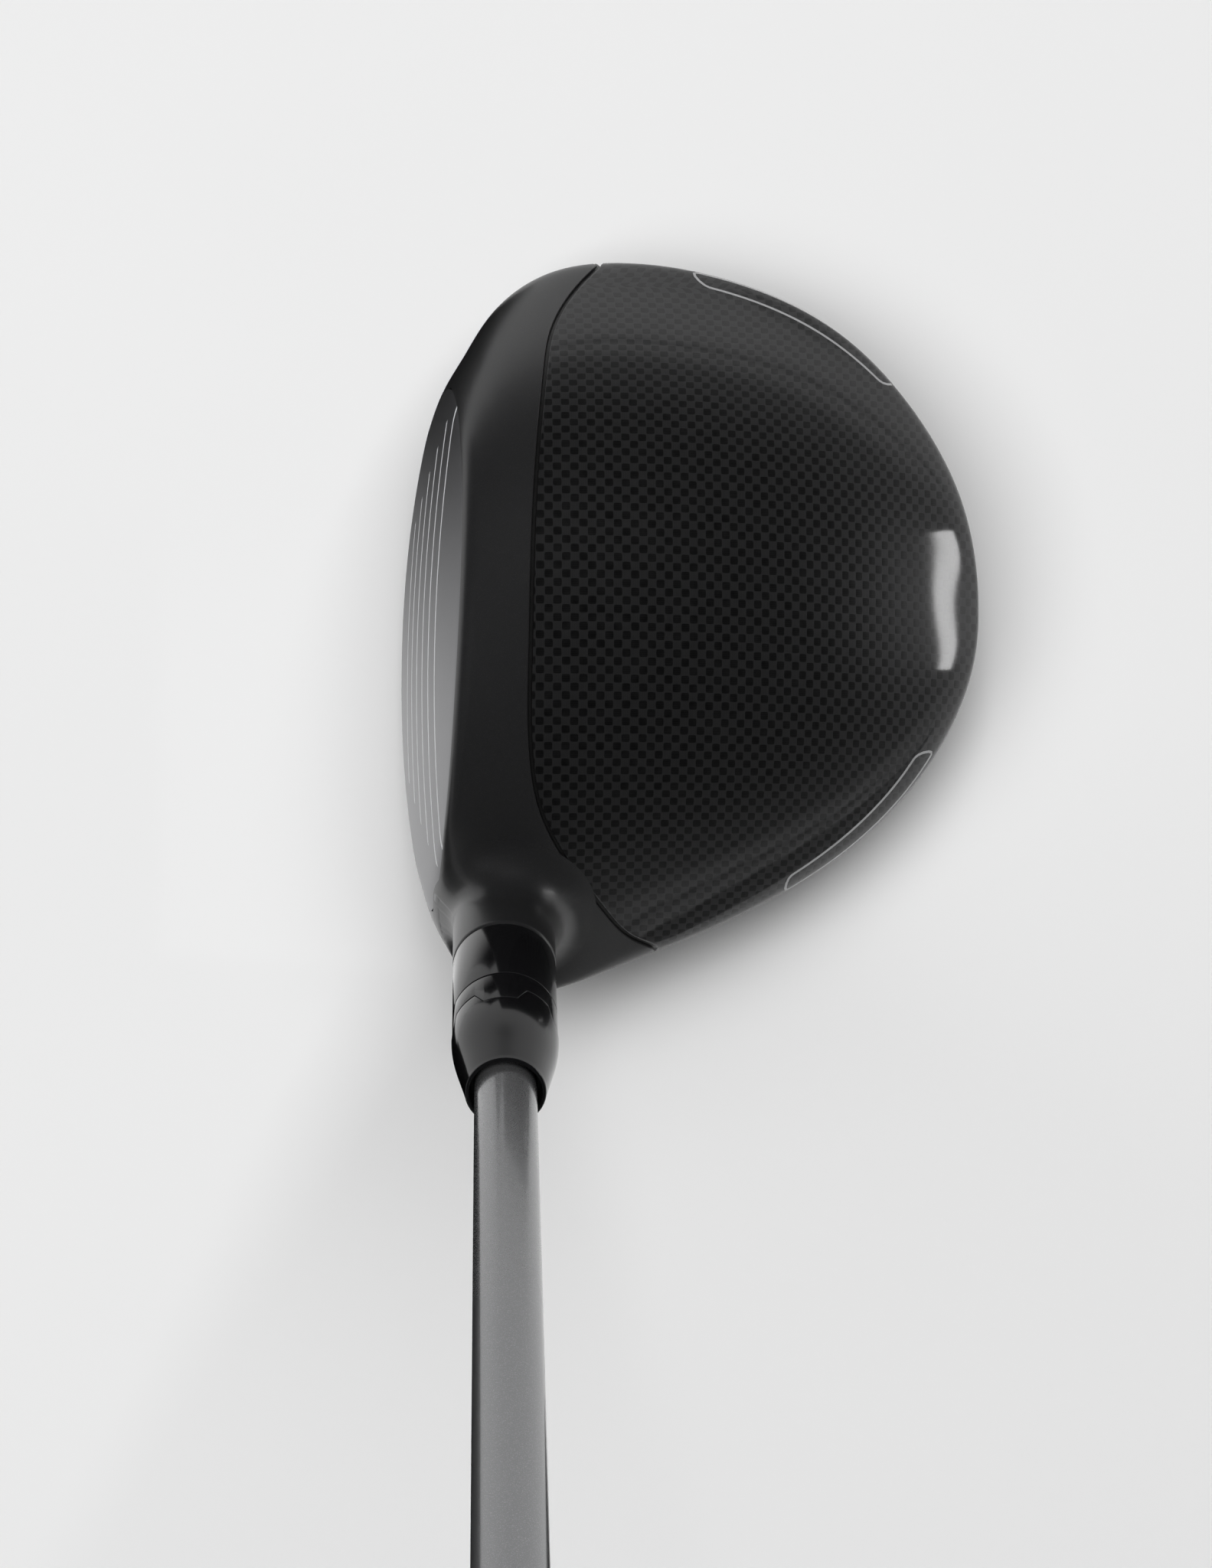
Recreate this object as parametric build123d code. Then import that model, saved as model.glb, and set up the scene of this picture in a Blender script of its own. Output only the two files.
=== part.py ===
# Golf driver with a compact, adjustable head. Millimetres, +Z up, ground at z = 0.
# The club stands at address: -X is the target, +Y points away from the golfer, and the origin is the
# middle of the small flat rest pad under the sole.
import math
import os

from build123d import *

# ---- driving sizes: head ----
head_length = 116.0          # heel to toe
head_depth = 91.0            # leading edge to the back
head_height = 50.0           # ground to the top of the crown
face_setback = 36.2          # leading edge ahead of the origin
toe_shift = 0.0              # middle of the head, towards the toe from the origin
skirt_height = 18.0          # height of the widest line round the head
loft = 12.0
lie = 58.0
face_radius = 300.0          # bulge and roll
face_centre_height = 26.0
leading_edge_height = 6.0    # height of the head's foremost line
face_ball_tuck = 0.7         # how far the curved face stands ahead of a flat one at that height
face_middle_y = -10.0
crown_apex_x = -18.0
crown_apex_y = 2.0
crown_fall_back = 0.0050     # crown height lost per mm squared, front to back
crown_fall_side = 0.0080     # and heel to toe
sole_rise_back = 0.0028
sole_rise_side = 0.0034
sole_pad_drop = 0.35         # how far the sole's curve dips under the flat pad before it is cut
crown_fullness = 4.0         # a higher number keeps the crown fuller out to the skirt
sole_fullness = 3.0
closing_fullness = 8.0       # and the same towards the back
blank_front = -48.0          # where the head's curves start, ahead of the face

# ---- driving sizes: walls and the crown panel ----
shell_wall = 1.2
face_thickness = 3.0
panel_thickness = 0.9
panel_bond = 0.12            # adhesive under the panel
ledge_thickness = 0.95
ledge_width = 7.0
ledge_overlap = 1.5
ledge_drop = 3.0             # the ledge is narrower down the skirt
groove_width = 0.6
groove_depth = 0.35
panel_foot_height = 15.5     # the panel wraps over the skirt down to here
seam_line_x = 19.7           # straight front run of the seam, behind the leading edge
score_line_count = 6
score_line_pitch = 4.5
score_line_width = 0.35
score_line_depth = 0.3
score_line_first = 12.6      # height of the lowest line
score_line_mid_y = -3.5
score_line_short = 20.5      # half lengths of the lowest and the highest line
score_line_long = 37.5
score_cutter_depth = 12.0    # front to back, reaching through the sloping face

# ---- driving sizes: hosel and adapter, measured along the shaft from the hosel's rim ----
hosel_setback = 16.2         # shaft axis behind the leading edge
hosel_heel_inset = 4.7       # shaft axis at the rim, in from the heel
hosel_rim_height = 42.0
hosel_radius = 7.75
hosel_inner_radius = 7.3     # hosel tube inside the head
hosel_rim_round = 0.9
hosel_neck_start = 5.0       # the hosel flares into the crown from here ...
hosel_neck_end = 19.0        # ... to here
hosel_neck_flare = 3.6
hosel_neck_root = 8.0        # the flare's solid runs this far on, inside the head
hosel_bore_depth = 36.0
hosel_web = 2.5
fit_clearance = 0.07         # radial, between the sleeve and what slides on it
joint_gap = 0.06             # between parts that seat on each other
cut_past = 1.0               # cutting shapes run this far past the surface they cut
sleeve_radius = 5.80
sleeve_below_rim = 33.5
sleeve_above_rim = 24.0
shaft_insertion_below = 17.0
lower_cog_height = 14.0
upper_cog_height = 4.0
cog_radius = 7.7
tang_height = 2.7
tang_root_width = 7.6
tang_tip_width = 4.9
tang_count = 4
tang_turn = 5.5
tang_sink = 0.01             # the tangs start this far inside their ring
key_count = 4                # small blocks that key one ring to the next, out of sight
key_height = 1.6
key_width = 2.4
key_depth = 0.6
key_turn = 45.0
key_overlap = 0.2            # each key reaches this far into its own ring
ferrule_height = 34.0
ferrule_end_radius = 5.85
ferrule_lip = 0.6
ferrule_recess = 2.4
ferrule_belly = 7.8
ferrule_belly_height = 2.5       # above the upper ring
ferrule_shoulder_height = 6.0
ferrule_shoulder_draw = 0.12     # the shoulder is this much slimmer than the rings
ferrule_end_round = 0.3
bolt_radius = 2.5
bolt_clearance = 0.3
thread_clearance = 0.04
bolt_head_radius = 4.4
bolt_head_height = 4.4
bolt_port_radius = 5.2
bolt_port_reach = 25.0       # down the axis from the web, out through the sole
hosel_tube_reach = 12.0      # of the tube round the port
hosel_tube_start = 4.0       # below the rim
bolt_thread_length = 11.5    # engaged in the sleeve
sleeve_thread_depth = 13.0
washer_thickness = 0.8
clip_thickness = 1.4         # keeps the bolt in the head
clip_gap = 0.1
clip_width = 1.1
drive_radius = 1.3           # star socket, round the lobes' centres
drive_lobe = 0.55
drive_depth = 2.4

# ---- driving sizes: shaft and grip ----
club_length = 1118.0         # along the shaft, from the ground to the end of the grip
shaft_tip_radius = 4.45
shaft_butt_radius = 7.62
shaft_tip_bore = 2.3         # radius
shaft_butt_bore = 6.5
epoxy_film = 0.10
plug_length = 9.0
plug_setback = 1.0           # up from the shaft's foot
grip_length = 267.0
grip_wall_butt = 5.4
grip_wall_mouth = 1.5
grip_mouth_round = 0.5
grip_flare_length = 30.0     # the grip swells over its last stretch ...
grip_flare = 0.9             # ... by this much
grip_end_length = 6.0        # and then runs parallel
tape_thickness = 0.25
tape_setback = 2.0           # the tape starts this far inside the grip's mouth
cap_thickness = 3.5
cap_plug_depth = 8.0
cap_plug_clearance = 0.2
cap_plug_gap = 0.4           # further clearance down the plug
cap_side = 1.0               # straight side, before the cap rounds over
cap_round_width = 2.6
cap_dome_width = 5.0
cap_dome_height = 0.4
vent_radius = 1.6

# ---- driving sizes: sole weights ----
weight_radius = 8.5
weight_height = 5.0
weight_clearance = 0.08
weight_recess = 0.5          # below the sole's surface
weight_places = {"front": (0.19, 0.06), "rear": (0.80, 0.0)}   # shares of the depth and length
boss_wall = 1.6
boss_floor = 2.0
screw_radius = 2.5
screw_length = 9.0
screw_head_radius = 4.2
screw_head_height = 2.6
screw_recess = 0.2           # the screw's head lies below the disc's face
post_clearance = 1.0         # under the screw's tip
post_end_wall = 1.2
melt_pad_place = (0.45, 0.33)    # shares of the depth and length
melt_pad_radius = 9.0
melt_pad_thickness = 1.4
melt_pad_reach = 16.0            # height under which the pad lies
rib_thickness = 1.0
rib_height = 3.0
rib_places = (-16.0, 24.0)       # towards the heel and the toe
rib_middle_x = 10.0
rib_length = 0.7                 # share of the depth

# ---- worked out ----
lie_cos = math.cos(math.radians(lie))
lie_sin = math.sin(math.radians(lie))
leading_edge = -face_setback
heel_y = toe_shift - head_length / 2
hosel_rim = Vector(leading_edge + hosel_setback, heel_y + hosel_heel_inset, hosel_rim_height)
shaft_axis = Vector(0, -lie_cos, lie_sin)
shaft_line = Plane(origin=hosel_rim, x_dir=(1, 0, 0), z_dir=shaft_axis)
butt_end = club_length - hosel_rim_height / lie_sin
shaft_top = butt_end - cap_thickness
panel_depth = panel_thickness + panel_bond
os.makedirs("parts", exist_ok=True)


def save(name, *solids):
    shape = solids[0] if len(solids) == 1 else Compound(children=list(solids))
    shape.label = name
    export_step(shape, "parts/" + name + ".step")


def on_shaft(shape):
    return shaft_line.location * shape


def turned(points):
    # A body of revolution about the local Z axis, from (radius, height) corners.
    wire = Polyline([(r, 0, z) for r, z in points], close=True)
    return revolve(make_face(wire), Axis.Z)


def tube(outer, inner, low, high):
    return turned([(inner, low), (outer, low), (outer, high), (inner, high)])


def rod(radius, low, high):
    return Pos(0, 0, (low + high) / 2) * Cylinder(radius, high - low)


# ---- the head's outer form ----
# The plan outline, as shares of the depth behind the leading edge and of the length from its middle.
# It runs from ahead of the face round the heel, the back and the toe.
outline_shape = [
    (-0.13, -0.275), (-0.075, -0.292), (0.0, -0.343), (0.066, -0.412), (0.10, -0.458), (0.145, -0.486),
    (0.205, -0.496), (0.287, -0.484), (0.39, -0.453), (0.512, -0.415), (0.625, -0.373), (0.789, -0.29),
    (0.893, -0.207), (0.958, -0.124), (0.993, -0.041), (1.0, 0.043), (0.974, 0.169), (0.892, 0.294),
    (0.731, 0.419), (0.556, 0.478), (0.372, 0.498), (0.262, 0.485), (0.156, 0.426), (0.088, 0.34),
    (0.0, 0.262), (-0.075, 0.215), (-0.13, 0.19),
]
outline_stations = 400
seam_stations = 40
section_shares = [-0.075, 0, 0.08, 0.16, 0.27, 0.4, 0.53, 0.66, 0.77, 0.86, 0.92, 0.96, 0.985, 0.997]
section_points = 24


def plan_point(depth_share, length_share):
    return (leading_edge + depth_share * head_depth, toe_shift + length_share * head_length)


outline = Spline([plan_point(a, b) for a, b in outline_shape])


def crown_height(x, y):
    fall = crown_fall_back * (x - crown_apex_x) ** 2 + crown_fall_side * (y - crown_apex_y) ** 2
    return head_height - fall


def sole_height(x, y):
    return sole_rise_back * x ** 2 + sole_rise_side * y ** 2 - sole_pad_drop


def head_span(x, inset):
    # The heel-side and toe-side limits of the inset outline at this depth.
    edge = []
    for i in range(outline_stations + 1):
        at = outline.position_at(i / outline_stations)
        along = outline.tangent_at(i / outline_stations)
        edge.append((at.X - along.Y * inset, at.Y + along.X * inset))
    crossings = []
    for (x0, y0), (x1, y1) in zip(edge, edge[1:]):
        if x0 != x1 and (x0 - x) * (x1 - x) <= 0:
            crossings.append(y0 + (y1 - y0) * (x - x0) / (x1 - x0))
    return min(crossings), max(crossings)


def head_section(share, inset):
    # One closed cross-section, a given share of the way from the leading edge to the back.
    back = leading_edge + head_depth - inset
    x = leading_edge + share * (back - leading_edge)
    low, high = head_span(x, inset)
    closing = math.sqrt(1 - ((x - blank_front) / (back - blank_front)) ** closing_fullness)
    points = []
    for i in range(section_points):
        angle = 2 * math.pi * i / section_points
        over = math.sin(angle) > 0
        fullness = crown_fullness if over else sole_fullness
        side = math.copysign(abs(math.cos(angle)) ** (2 / fullness), math.cos(angle))
        y = (low + high) / 2 + (high - low) / 2 * side
        height = abs(math.sin(angle)) * closing
        if over:
            z = skirt_height + (crown_height(x, y) - inset - skirt_height) * height
        else:
            z = skirt_height - (skirt_height - sole_height(x, y) - inset) * height
        points.append(Vector(x, y, z))
    knots = [i / section_points for i in range(section_points + 1)]
    return Wire([Edge.make_spline(points, periodic=True, parameters=knots)])


def head_form(inset):
    # The head as one smooth solid, or the same solid drawn in by the inset.
    return Solid.make_loft([head_section(share, inset) for share in section_shares])


def face_ball(inset):
    loft_cos = math.cos(math.radians(loft))
    loft_sin = math.sin(math.radians(loft))
    lean = (face_centre_height - leading_edge_height) * math.tan(math.radians(loft))
    middle_x = leading_edge + lean - face_ball_tuck
    centre = (middle_x + face_radius * loft_cos, face_middle_y, face_centre_height - face_radius * loft_sin)
    return Pos(*centre) * Sphere(face_radius - inset)


def seam_region(shift, foot):
    # Everything behind the crown seam and above the panel's foot; shift moves its edge inwards.
    x = leading_edge + seam_line_x
    points = [
        (x + 48, heel_y - 19), (x + 32, heel_y - 1), (x + 21, heel_y + 7.2), (x + 16, heel_y + 9.2),
        (x + 11.5, heel_y + 13.5), (x + 5.5, heel_y + 21), (x + 1.6, heel_y + 28.5),
        (x + 0.2, heel_y + 36), (x, heel_y + 51), (x + 0.4, heel_y + 69), (x + 1.5, heel_y + 87),
        (x + 2.4, heel_y + 96), (x + 3.4, heel_y + 102.5), (x + 6.0, heel_y + 108.5),
        (x + 11, heel_y + 115), (x + 22, heel_y + 125),
    ]
    seam = Spline(points)
    moved = []
    for i in range(seam_stations + 1):
        at = seam.position_at(i / seam_stations)
        along = seam.tangent_at(i / seam_stations)
        moved.append((at.X + along.Y * shift, at.Y - along.X * shift))
    front = Spline(moved)
    far_x = 2 * head_depth
    back = Polyline(moved[-1], (far_x, moved[-1][1]), (far_x, moved[0][1]), moved[0])
    region = extrude(make_face(front + back), 2 * head_height)
    return Pos(0, 0, foot) * region


# ---- head: solids at each depth under the surface ----
ground_block = Pos(0, 0, -head_height) * Box(3 * head_depth, 3 * head_length, 2 * head_height)
skin = head_form(0)
groove_bottom = head_form(groove_depth)
panel_under = head_form(panel_thickness)
ledge_top = head_form(panel_depth)
wall_inside = head_form(shell_wall)
ledge_under = head_form(panel_depth + ledge_thickness)
melt_pad_top = head_form(shell_wall + melt_pad_thickness)
rib_top = head_form(shell_wall + rib_height)
face_front = face_ball(0)
face_back = face_ball(face_thickness)


# ---- hosel ----
def hosel_neck():
    flare_radius = hosel_radius + hosel_neck_flare
    flare = TangentArc(
        (hosel_radius, 0, -hosel_neck_start), (flare_radius, 0, -hosel_neck_end), tangent=(0, 0, -1)
    )
    inside = Polyline(
        (flare_radius, 0, -hosel_neck_end), (0, 0, -hosel_neck_end - hosel_neck_root), (0, 0, 0),
        (hosel_radius - hosel_rim_round, 0, 0),
    )
    rim = TangentArc(
        (hosel_radius - hosel_rim_round, 0, 0), (hosel_radius, 0, -hosel_rim_round), tangent=(1, 0, 0)
    )
    side = Line((hosel_radius, 0, -hosel_rim_round), (hosel_radius, 0, -hosel_neck_start))
    whole = on_shaft(revolve(make_face(flare + inside + rim + side), Axis.Z))
    return (whole & face_front) + on_shaft(rod(hosel_radius, -hosel_neck_end, -2 * hosel_rim_round)) + (
        whole & on_shaft(rod(2 * hosel_radius, -hosel_neck_start, cut_past)))


bore_radius = sleeve_radius + fit_clearance
web_top = -hosel_bore_depth
web_bottom = web_top - hosel_web
neck = hosel_neck()
hosel_tube = on_shaft(rod(hosel_inner_radius, web_bottom - hosel_tube_reach, -hosel_tube_start))
sleeve_bore = on_shaft(rod(bore_radius, web_top, cut_past))
bolt_hole = on_shaft(rod(bolt_radius + bolt_clearance, web_bottom - cut_past, web_top + cut_past))
bolt_port = on_shaft(rod(bolt_port_radius, web_bottom - bolt_port_reach, web_bottom))


def ring_blocks(count, turn, width_low, width_high, inner, outer_radius, low, high):
    # Blocks with sloping sides round a ring, between two heights.
    side_view = Polyline(
        (-width_low / 2, 0, low), (width_low / 2, 0, low),
        (width_high / 2, 0, high), (-width_high / 2, 0, high), close=True,
    )
    block = extrude(make_face(side_view), 2 * outer_radius, dir=(0, 1, 0))
    ring = tube(outer_radius, inner, low - cut_past, high + cut_past)
    return [Rot(0, 0, turn + 360 / count * i) * block & ring for i in range(count)]


def add_all(solid, pieces):
    for piece in pieces:
        solid = solid + piece
    return solid


def cut_all(solid, pieces):
    for piece in pieces:
        solid = solid - piece
    return solid


key_outer = bore_radius + key_depth


def keys_under(seat):
    # Keys that hang under a ring seated at this height.
    return ring_blocks(key_count, key_turn, key_width, key_width, bore_radius, key_outer,
                       seat - key_height, seat + joint_gap + key_overlap)


def key_slots(seat):
    width = key_width + 2 * fit_clearance
    return ring_blocks(key_count, key_turn, width, width, bore_radius - cut_past, key_outer + fit_clearance,
                       seat - key_height - joint_gap, seat + cut_past)


# ---- weight ports on the sole; local +Z leaves the sole ----
def sole_plane(place):
    x, y = plan_point(*weight_places[place])
    hits = skin.find_intersection_points(Axis((x, y, -head_height), (0, 0, 1)))
    point, normal = min(hits, key=lambda hit: hit[0].Z)
    if normal.Z > 0:
        normal = normal * -1
    return Plane(origin=point, x_dir=(0, 1, 0), z_dir=normal)


pocket_floor = -weight_recess - weight_height
screw_seat = -weight_recess - screw_head_height - screw_recess
screw_tip = screw_seat - screw_length
post_top = screw_tip - post_clearance
post_end = post_top - post_end_wall


def port_pieces(place):
    where = sole_plane(place).location
    boss = rod(weight_radius + boss_wall, pocket_floor - boss_floor, 0)
    post = rod(screw_radius + boss_wall, post_end, 0)
    pocket = rod(weight_radius + weight_clearance, pocket_floor, head_height)
    hole = rod(screw_radius + thread_clearance, post_top, 0)
    return where * (boss + post), where * (pocket + hole)


ports = [port_pieces(place) for place in weight_places]


# ---- head body: a thin cast shell with a ledge for the crown panel ----
def head_shell():
    cavity = (wall_inside & face_back) - hosel_tube
    cavity = cut_all(cavity, [boss for boss, _ in ports])
    for rib_y in rib_places:
        rib = Box(head_depth * rib_length, rib_thickness, 2 * head_height)
        cavity = cavity - (Pos(rib_middle_x, rib_y, 0) * rib - rib_top)
    ledge_area = seam_region(-ledge_overlap, panel_foot_height - ledge_overlap)
    ledge_opening = seam_region(ledge_width, panel_foot_height + ledge_width - ledge_drop)
    ledge = (ledge_top - ledge_under) & (ledge_area - ledge_opening) & face_back
    shell = ((skin & face_back) + neck - ground_block) - cavity - panel_pocket + ledge
    shell = shell - sleeve_bore - bolt_hole - bolt_port
    shell = cut_all(shell, [port for _, port in ports])
    return cut_all(shell, [on_shaft(slot) for slot in key_slots(0)])


def face_plate():
    plate = (skin & face_front) - face_back - neck - ground_block
    loft_tan = math.tan(math.radians(loft))
    for i in range(score_line_count):
        height = score_line_first + i * score_line_pitch * math.cos(math.radians(loft))
        half_length = score_line_short + (score_line_long - score_line_short) * i / (score_line_count - 1)
        x = leading_edge + (height - leading_edge_height) * loft_tan
        bar = Box(score_cutter_depth, 2 * half_length, score_line_width)
        plate = plate - (Pos(x, score_line_mid_y, height) * bar - face_ball(score_line_depth))
    return plate


panel_pocket = seam_region(0, panel_foot_height)
panel_area = seam_region(groove_width, panel_foot_height + groove_width)
save("head_body", head_shell())
save("face_insert", face_plate())
save("crown_panel", (skin - panel_under) & panel_area)
save("crown_bond_line", (groove_bottom - ledge_top) & (panel_pocket - panel_area))
melt_x, melt_y = plan_point(*melt_pad_place)
melt_area = Pos(melt_x, melt_y, 0) * Cylinder(melt_pad_radius, 2 * melt_pad_reach)
save("hot_melt_pad", (wall_inside - melt_pad_top) & melt_area)


# ---- sole weights and their screws ----
def star_socket(top):
    # A six-lobed socket sunk from this height.
    star = rod(drive_radius, top - drive_depth, top + cut_past)
    for i in range(6):
        star = star + Rot(0, 0, 60 * i) * Pos(drive_radius, 0, 0) * rod(
            drive_lobe, top - drive_depth, top + cut_past)
    return star


def weight_disc():
    disc = rod(weight_radius, pocket_floor, -weight_recess)
    disc = disc - rod(screw_radius + fit_clearance, pocket_floor - cut_past, 0)
    return disc - rod(screw_head_radius + fit_clearance, screw_seat, 0)


def weight_screw():
    screw = rod(screw_radius, screw_tip, screw_seat + cut_past) + rod(
        screw_head_radius, screw_seat, screw_seat + screw_head_height)
    return screw - star_socket(screw_seat + screw_head_height)


for place in weight_places:
    save(place + "_weight", sole_plane(place).location * weight_disc())
    save(place + "_weight_screw", sole_plane(place).location * weight_screw())

# ---- adapter ----
save("lower_cog", on_shaft(cut_all(
    add_all(tube(cog_radius, bore_radius, joint_gap, lower_cog_height), keys_under(0)),
    key_slots(lower_cog_height),
)))
upper_seat = lower_cog_height + upper_cog_height
tangs = ring_blocks(tang_count, tang_turn, tang_root_width, tang_tip_width, bore_radius, cog_radius,
                    upper_seat - tang_sink, upper_seat + tang_height)
save("upper_cog", on_shaft(add_all(
    tube(cog_radius, bore_radius, lower_cog_height + joint_gap, upper_seat),
    tangs + keys_under(lower_cog_height),
)))
shaft_bore = shaft_tip_radius + epoxy_film
sleeve_thread = bolt_radius + thread_clearance
thread_top = -sleeve_below_rim + sleeve_thread_depth
save("shaft_sleeve", on_shaft(turned([
    (sleeve_thread, -sleeve_below_rim), (sleeve_radius, -sleeve_below_rim),
    (sleeve_radius, sleeve_above_rim), (shaft_bore, sleeve_above_rim),
    (shaft_bore, -shaft_insertion_below), (0, -shaft_insertion_below),
    (0, thread_top), (sleeve_thread, thread_top),
])))


def ferrule_shape():
    low = upper_seat + joint_gap
    body = turned([
        (sleeve_radius, low), (cog_radius, low), (ferrule_belly, low + ferrule_belly_height),
        (cog_radius - ferrule_shoulder_draw, low + ferrule_shoulder_height),
        (ferrule_end_radius, ferrule_height - ferrule_lip),
        (ferrule_end_radius - ferrule_end_round, ferrule_height - ferrule_end_round / 3),
        (ferrule_end_radius - ferrule_lip, ferrule_height),
        (ferrule_end_radius - ferrule_lip, ferrule_height - ferrule_recess),
        (shaft_radius(ferrule_height) + joint_gap, ferrule_height - ferrule_recess),
        (shaft_radius(ferrule_height) + joint_gap, sleeve_above_rim + joint_gap),
        (sleeve_radius, sleeve_above_rim + joint_gap),
    ])
    notches = ring_blocks(
        tang_count, tang_turn, tang_root_width + 3 * joint_gap, tang_tip_width + 3 * joint_gap,
        sleeve_radius - cut_past, ferrule_belly + cut_past,
        upper_seat - tang_sink, upper_seat + tang_height + joint_gap)
    sleeve_core = rod(sleeve_radius, low - cut_past, upper_seat + tang_height + cut_past)
    return cut_all(body, [notch - sleeve_core for notch in notches])


def shaft_radius(height):
    # The shaft is parallel inside the adapter and tapers evenly above it.
    share = max(0, height - sleeve_above_rim) / (shaft_top - sleeve_above_rim)
    return shaft_tip_radius + share * (shaft_butt_radius - shaft_tip_radius)


save("ferrule", on_shaft(ferrule_shape()))
shaft_foot = -shaft_insertion_below + joint_gap
save("tip_epoxy", on_shaft(tube(shaft_bore, shaft_tip_radius, shaft_foot, sleeve_above_rim)))
save("shaft", on_shaft(turned([
    (shaft_tip_bore, shaft_foot), (shaft_tip_radius, shaft_foot), (shaft_tip_radius, sleeve_above_rim),
    (shaft_butt_radius, shaft_top), (shaft_butt_bore, shaft_top), (shaft_tip_bore, sleeve_above_rim),
])))
plug_foot = shaft_foot + plug_setback
save("tip_plug", on_shaft(rod(shaft_tip_bore, plug_foot, plug_foot + plug_length)))

# ---- hosel bolt, up through the heel of the sole ----
bolt_seat = web_bottom - washer_thickness - joint_gap
bolt_tip = -sleeve_below_rim + bolt_thread_length
bolt = rod(bolt_radius, bolt_seat - cut_past, bolt_tip) + rod(
    bolt_head_radius, bolt_seat - bolt_head_height, bolt_seat)
socket = Rot(180, 0, 0) * star_socket(bolt_head_height - bolt_seat)
save("hosel_bolt", on_shaft(bolt - socket))
save("bolt_washer", on_shaft(tube(bolt_head_radius, bolt_radius, bolt_seat, bolt_seat + washer_thickness)))
save("bolt_clip", on_shaft(tube(
    bolt_radius + clip_width, bolt_radius, web_top + clip_gap, web_top + clip_gap + clip_thickness)))

# ---- grip ----
grip_mouth = butt_end - grip_length


def grip_shape():
    def outside(height, wall):
        return (shaft_radius(height) + tape_thickness + wall, height)

    return turned([
        (shaft_radius(grip_mouth) + tape_thickness, grip_mouth),
        outside(grip_mouth, grip_wall_mouth - grip_mouth_round),
        outside(grip_mouth + 2 * grip_mouth_round, grip_wall_mouth),
        outside(shaft_top - grip_flare_length, grip_wall_butt - grip_flare),
        outside(shaft_top - grip_end_length, grip_wall_butt),
        outside(shaft_top, grip_wall_butt), (shaft_radius(shaft_top) + tape_thickness, shaft_top),
    ])


tape_start = grip_mouth + tape_setback
save("grip_tape", on_shaft(turned([
    (shaft_radius(tape_start), tape_start),
    (shaft_radius(tape_start) + tape_thickness, tape_start),
    (shaft_butt_radius + tape_thickness, shaft_top), (shaft_butt_radius, shaft_top),
])))
save("grip", on_shaft(grip_shape()))
grip_end_radius = shaft_butt_radius + tape_thickness + grip_wall_butt
cap_plug = shaft_butt_bore - cap_plug_clearance - cap_plug_gap
save("grip_cap", on_shaft(turned([
    (vent_radius, shaft_top - cap_plug_depth), (cap_plug, shaft_top - cap_plug_depth),
    (cap_plug, shaft_top), (grip_end_radius, shaft_top), (grip_end_radius, shaft_top + cap_side),
    (grip_end_radius - cap_round_width / 3, (shaft_top + cap_side + butt_end) / 2),
    (grip_end_radius - cap_round_width, butt_end - cap_dome_height),
    (grip_end_radius - cap_dome_width, butt_end), (vent_radius, butt_end),
])))
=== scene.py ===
import math

import bmesh
import bpy
import numpy as np
from mathutils import Matrix, Vector
from mathutils.bvhtree import BVHTree


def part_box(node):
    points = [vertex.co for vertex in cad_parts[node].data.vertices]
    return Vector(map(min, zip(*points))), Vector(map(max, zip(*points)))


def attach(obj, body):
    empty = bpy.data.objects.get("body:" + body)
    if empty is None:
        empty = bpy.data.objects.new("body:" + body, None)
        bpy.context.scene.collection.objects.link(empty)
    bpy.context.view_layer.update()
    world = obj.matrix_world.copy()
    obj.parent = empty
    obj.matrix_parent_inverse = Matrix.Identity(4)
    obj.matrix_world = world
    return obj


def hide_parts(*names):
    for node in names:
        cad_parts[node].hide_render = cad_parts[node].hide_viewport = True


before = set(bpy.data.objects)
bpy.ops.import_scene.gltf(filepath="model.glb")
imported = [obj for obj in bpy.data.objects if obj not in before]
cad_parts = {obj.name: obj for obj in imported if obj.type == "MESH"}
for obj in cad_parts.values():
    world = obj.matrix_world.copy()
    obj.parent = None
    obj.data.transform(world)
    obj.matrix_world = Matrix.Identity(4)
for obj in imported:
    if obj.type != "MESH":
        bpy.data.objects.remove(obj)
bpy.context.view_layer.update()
mm = 0.001


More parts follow.
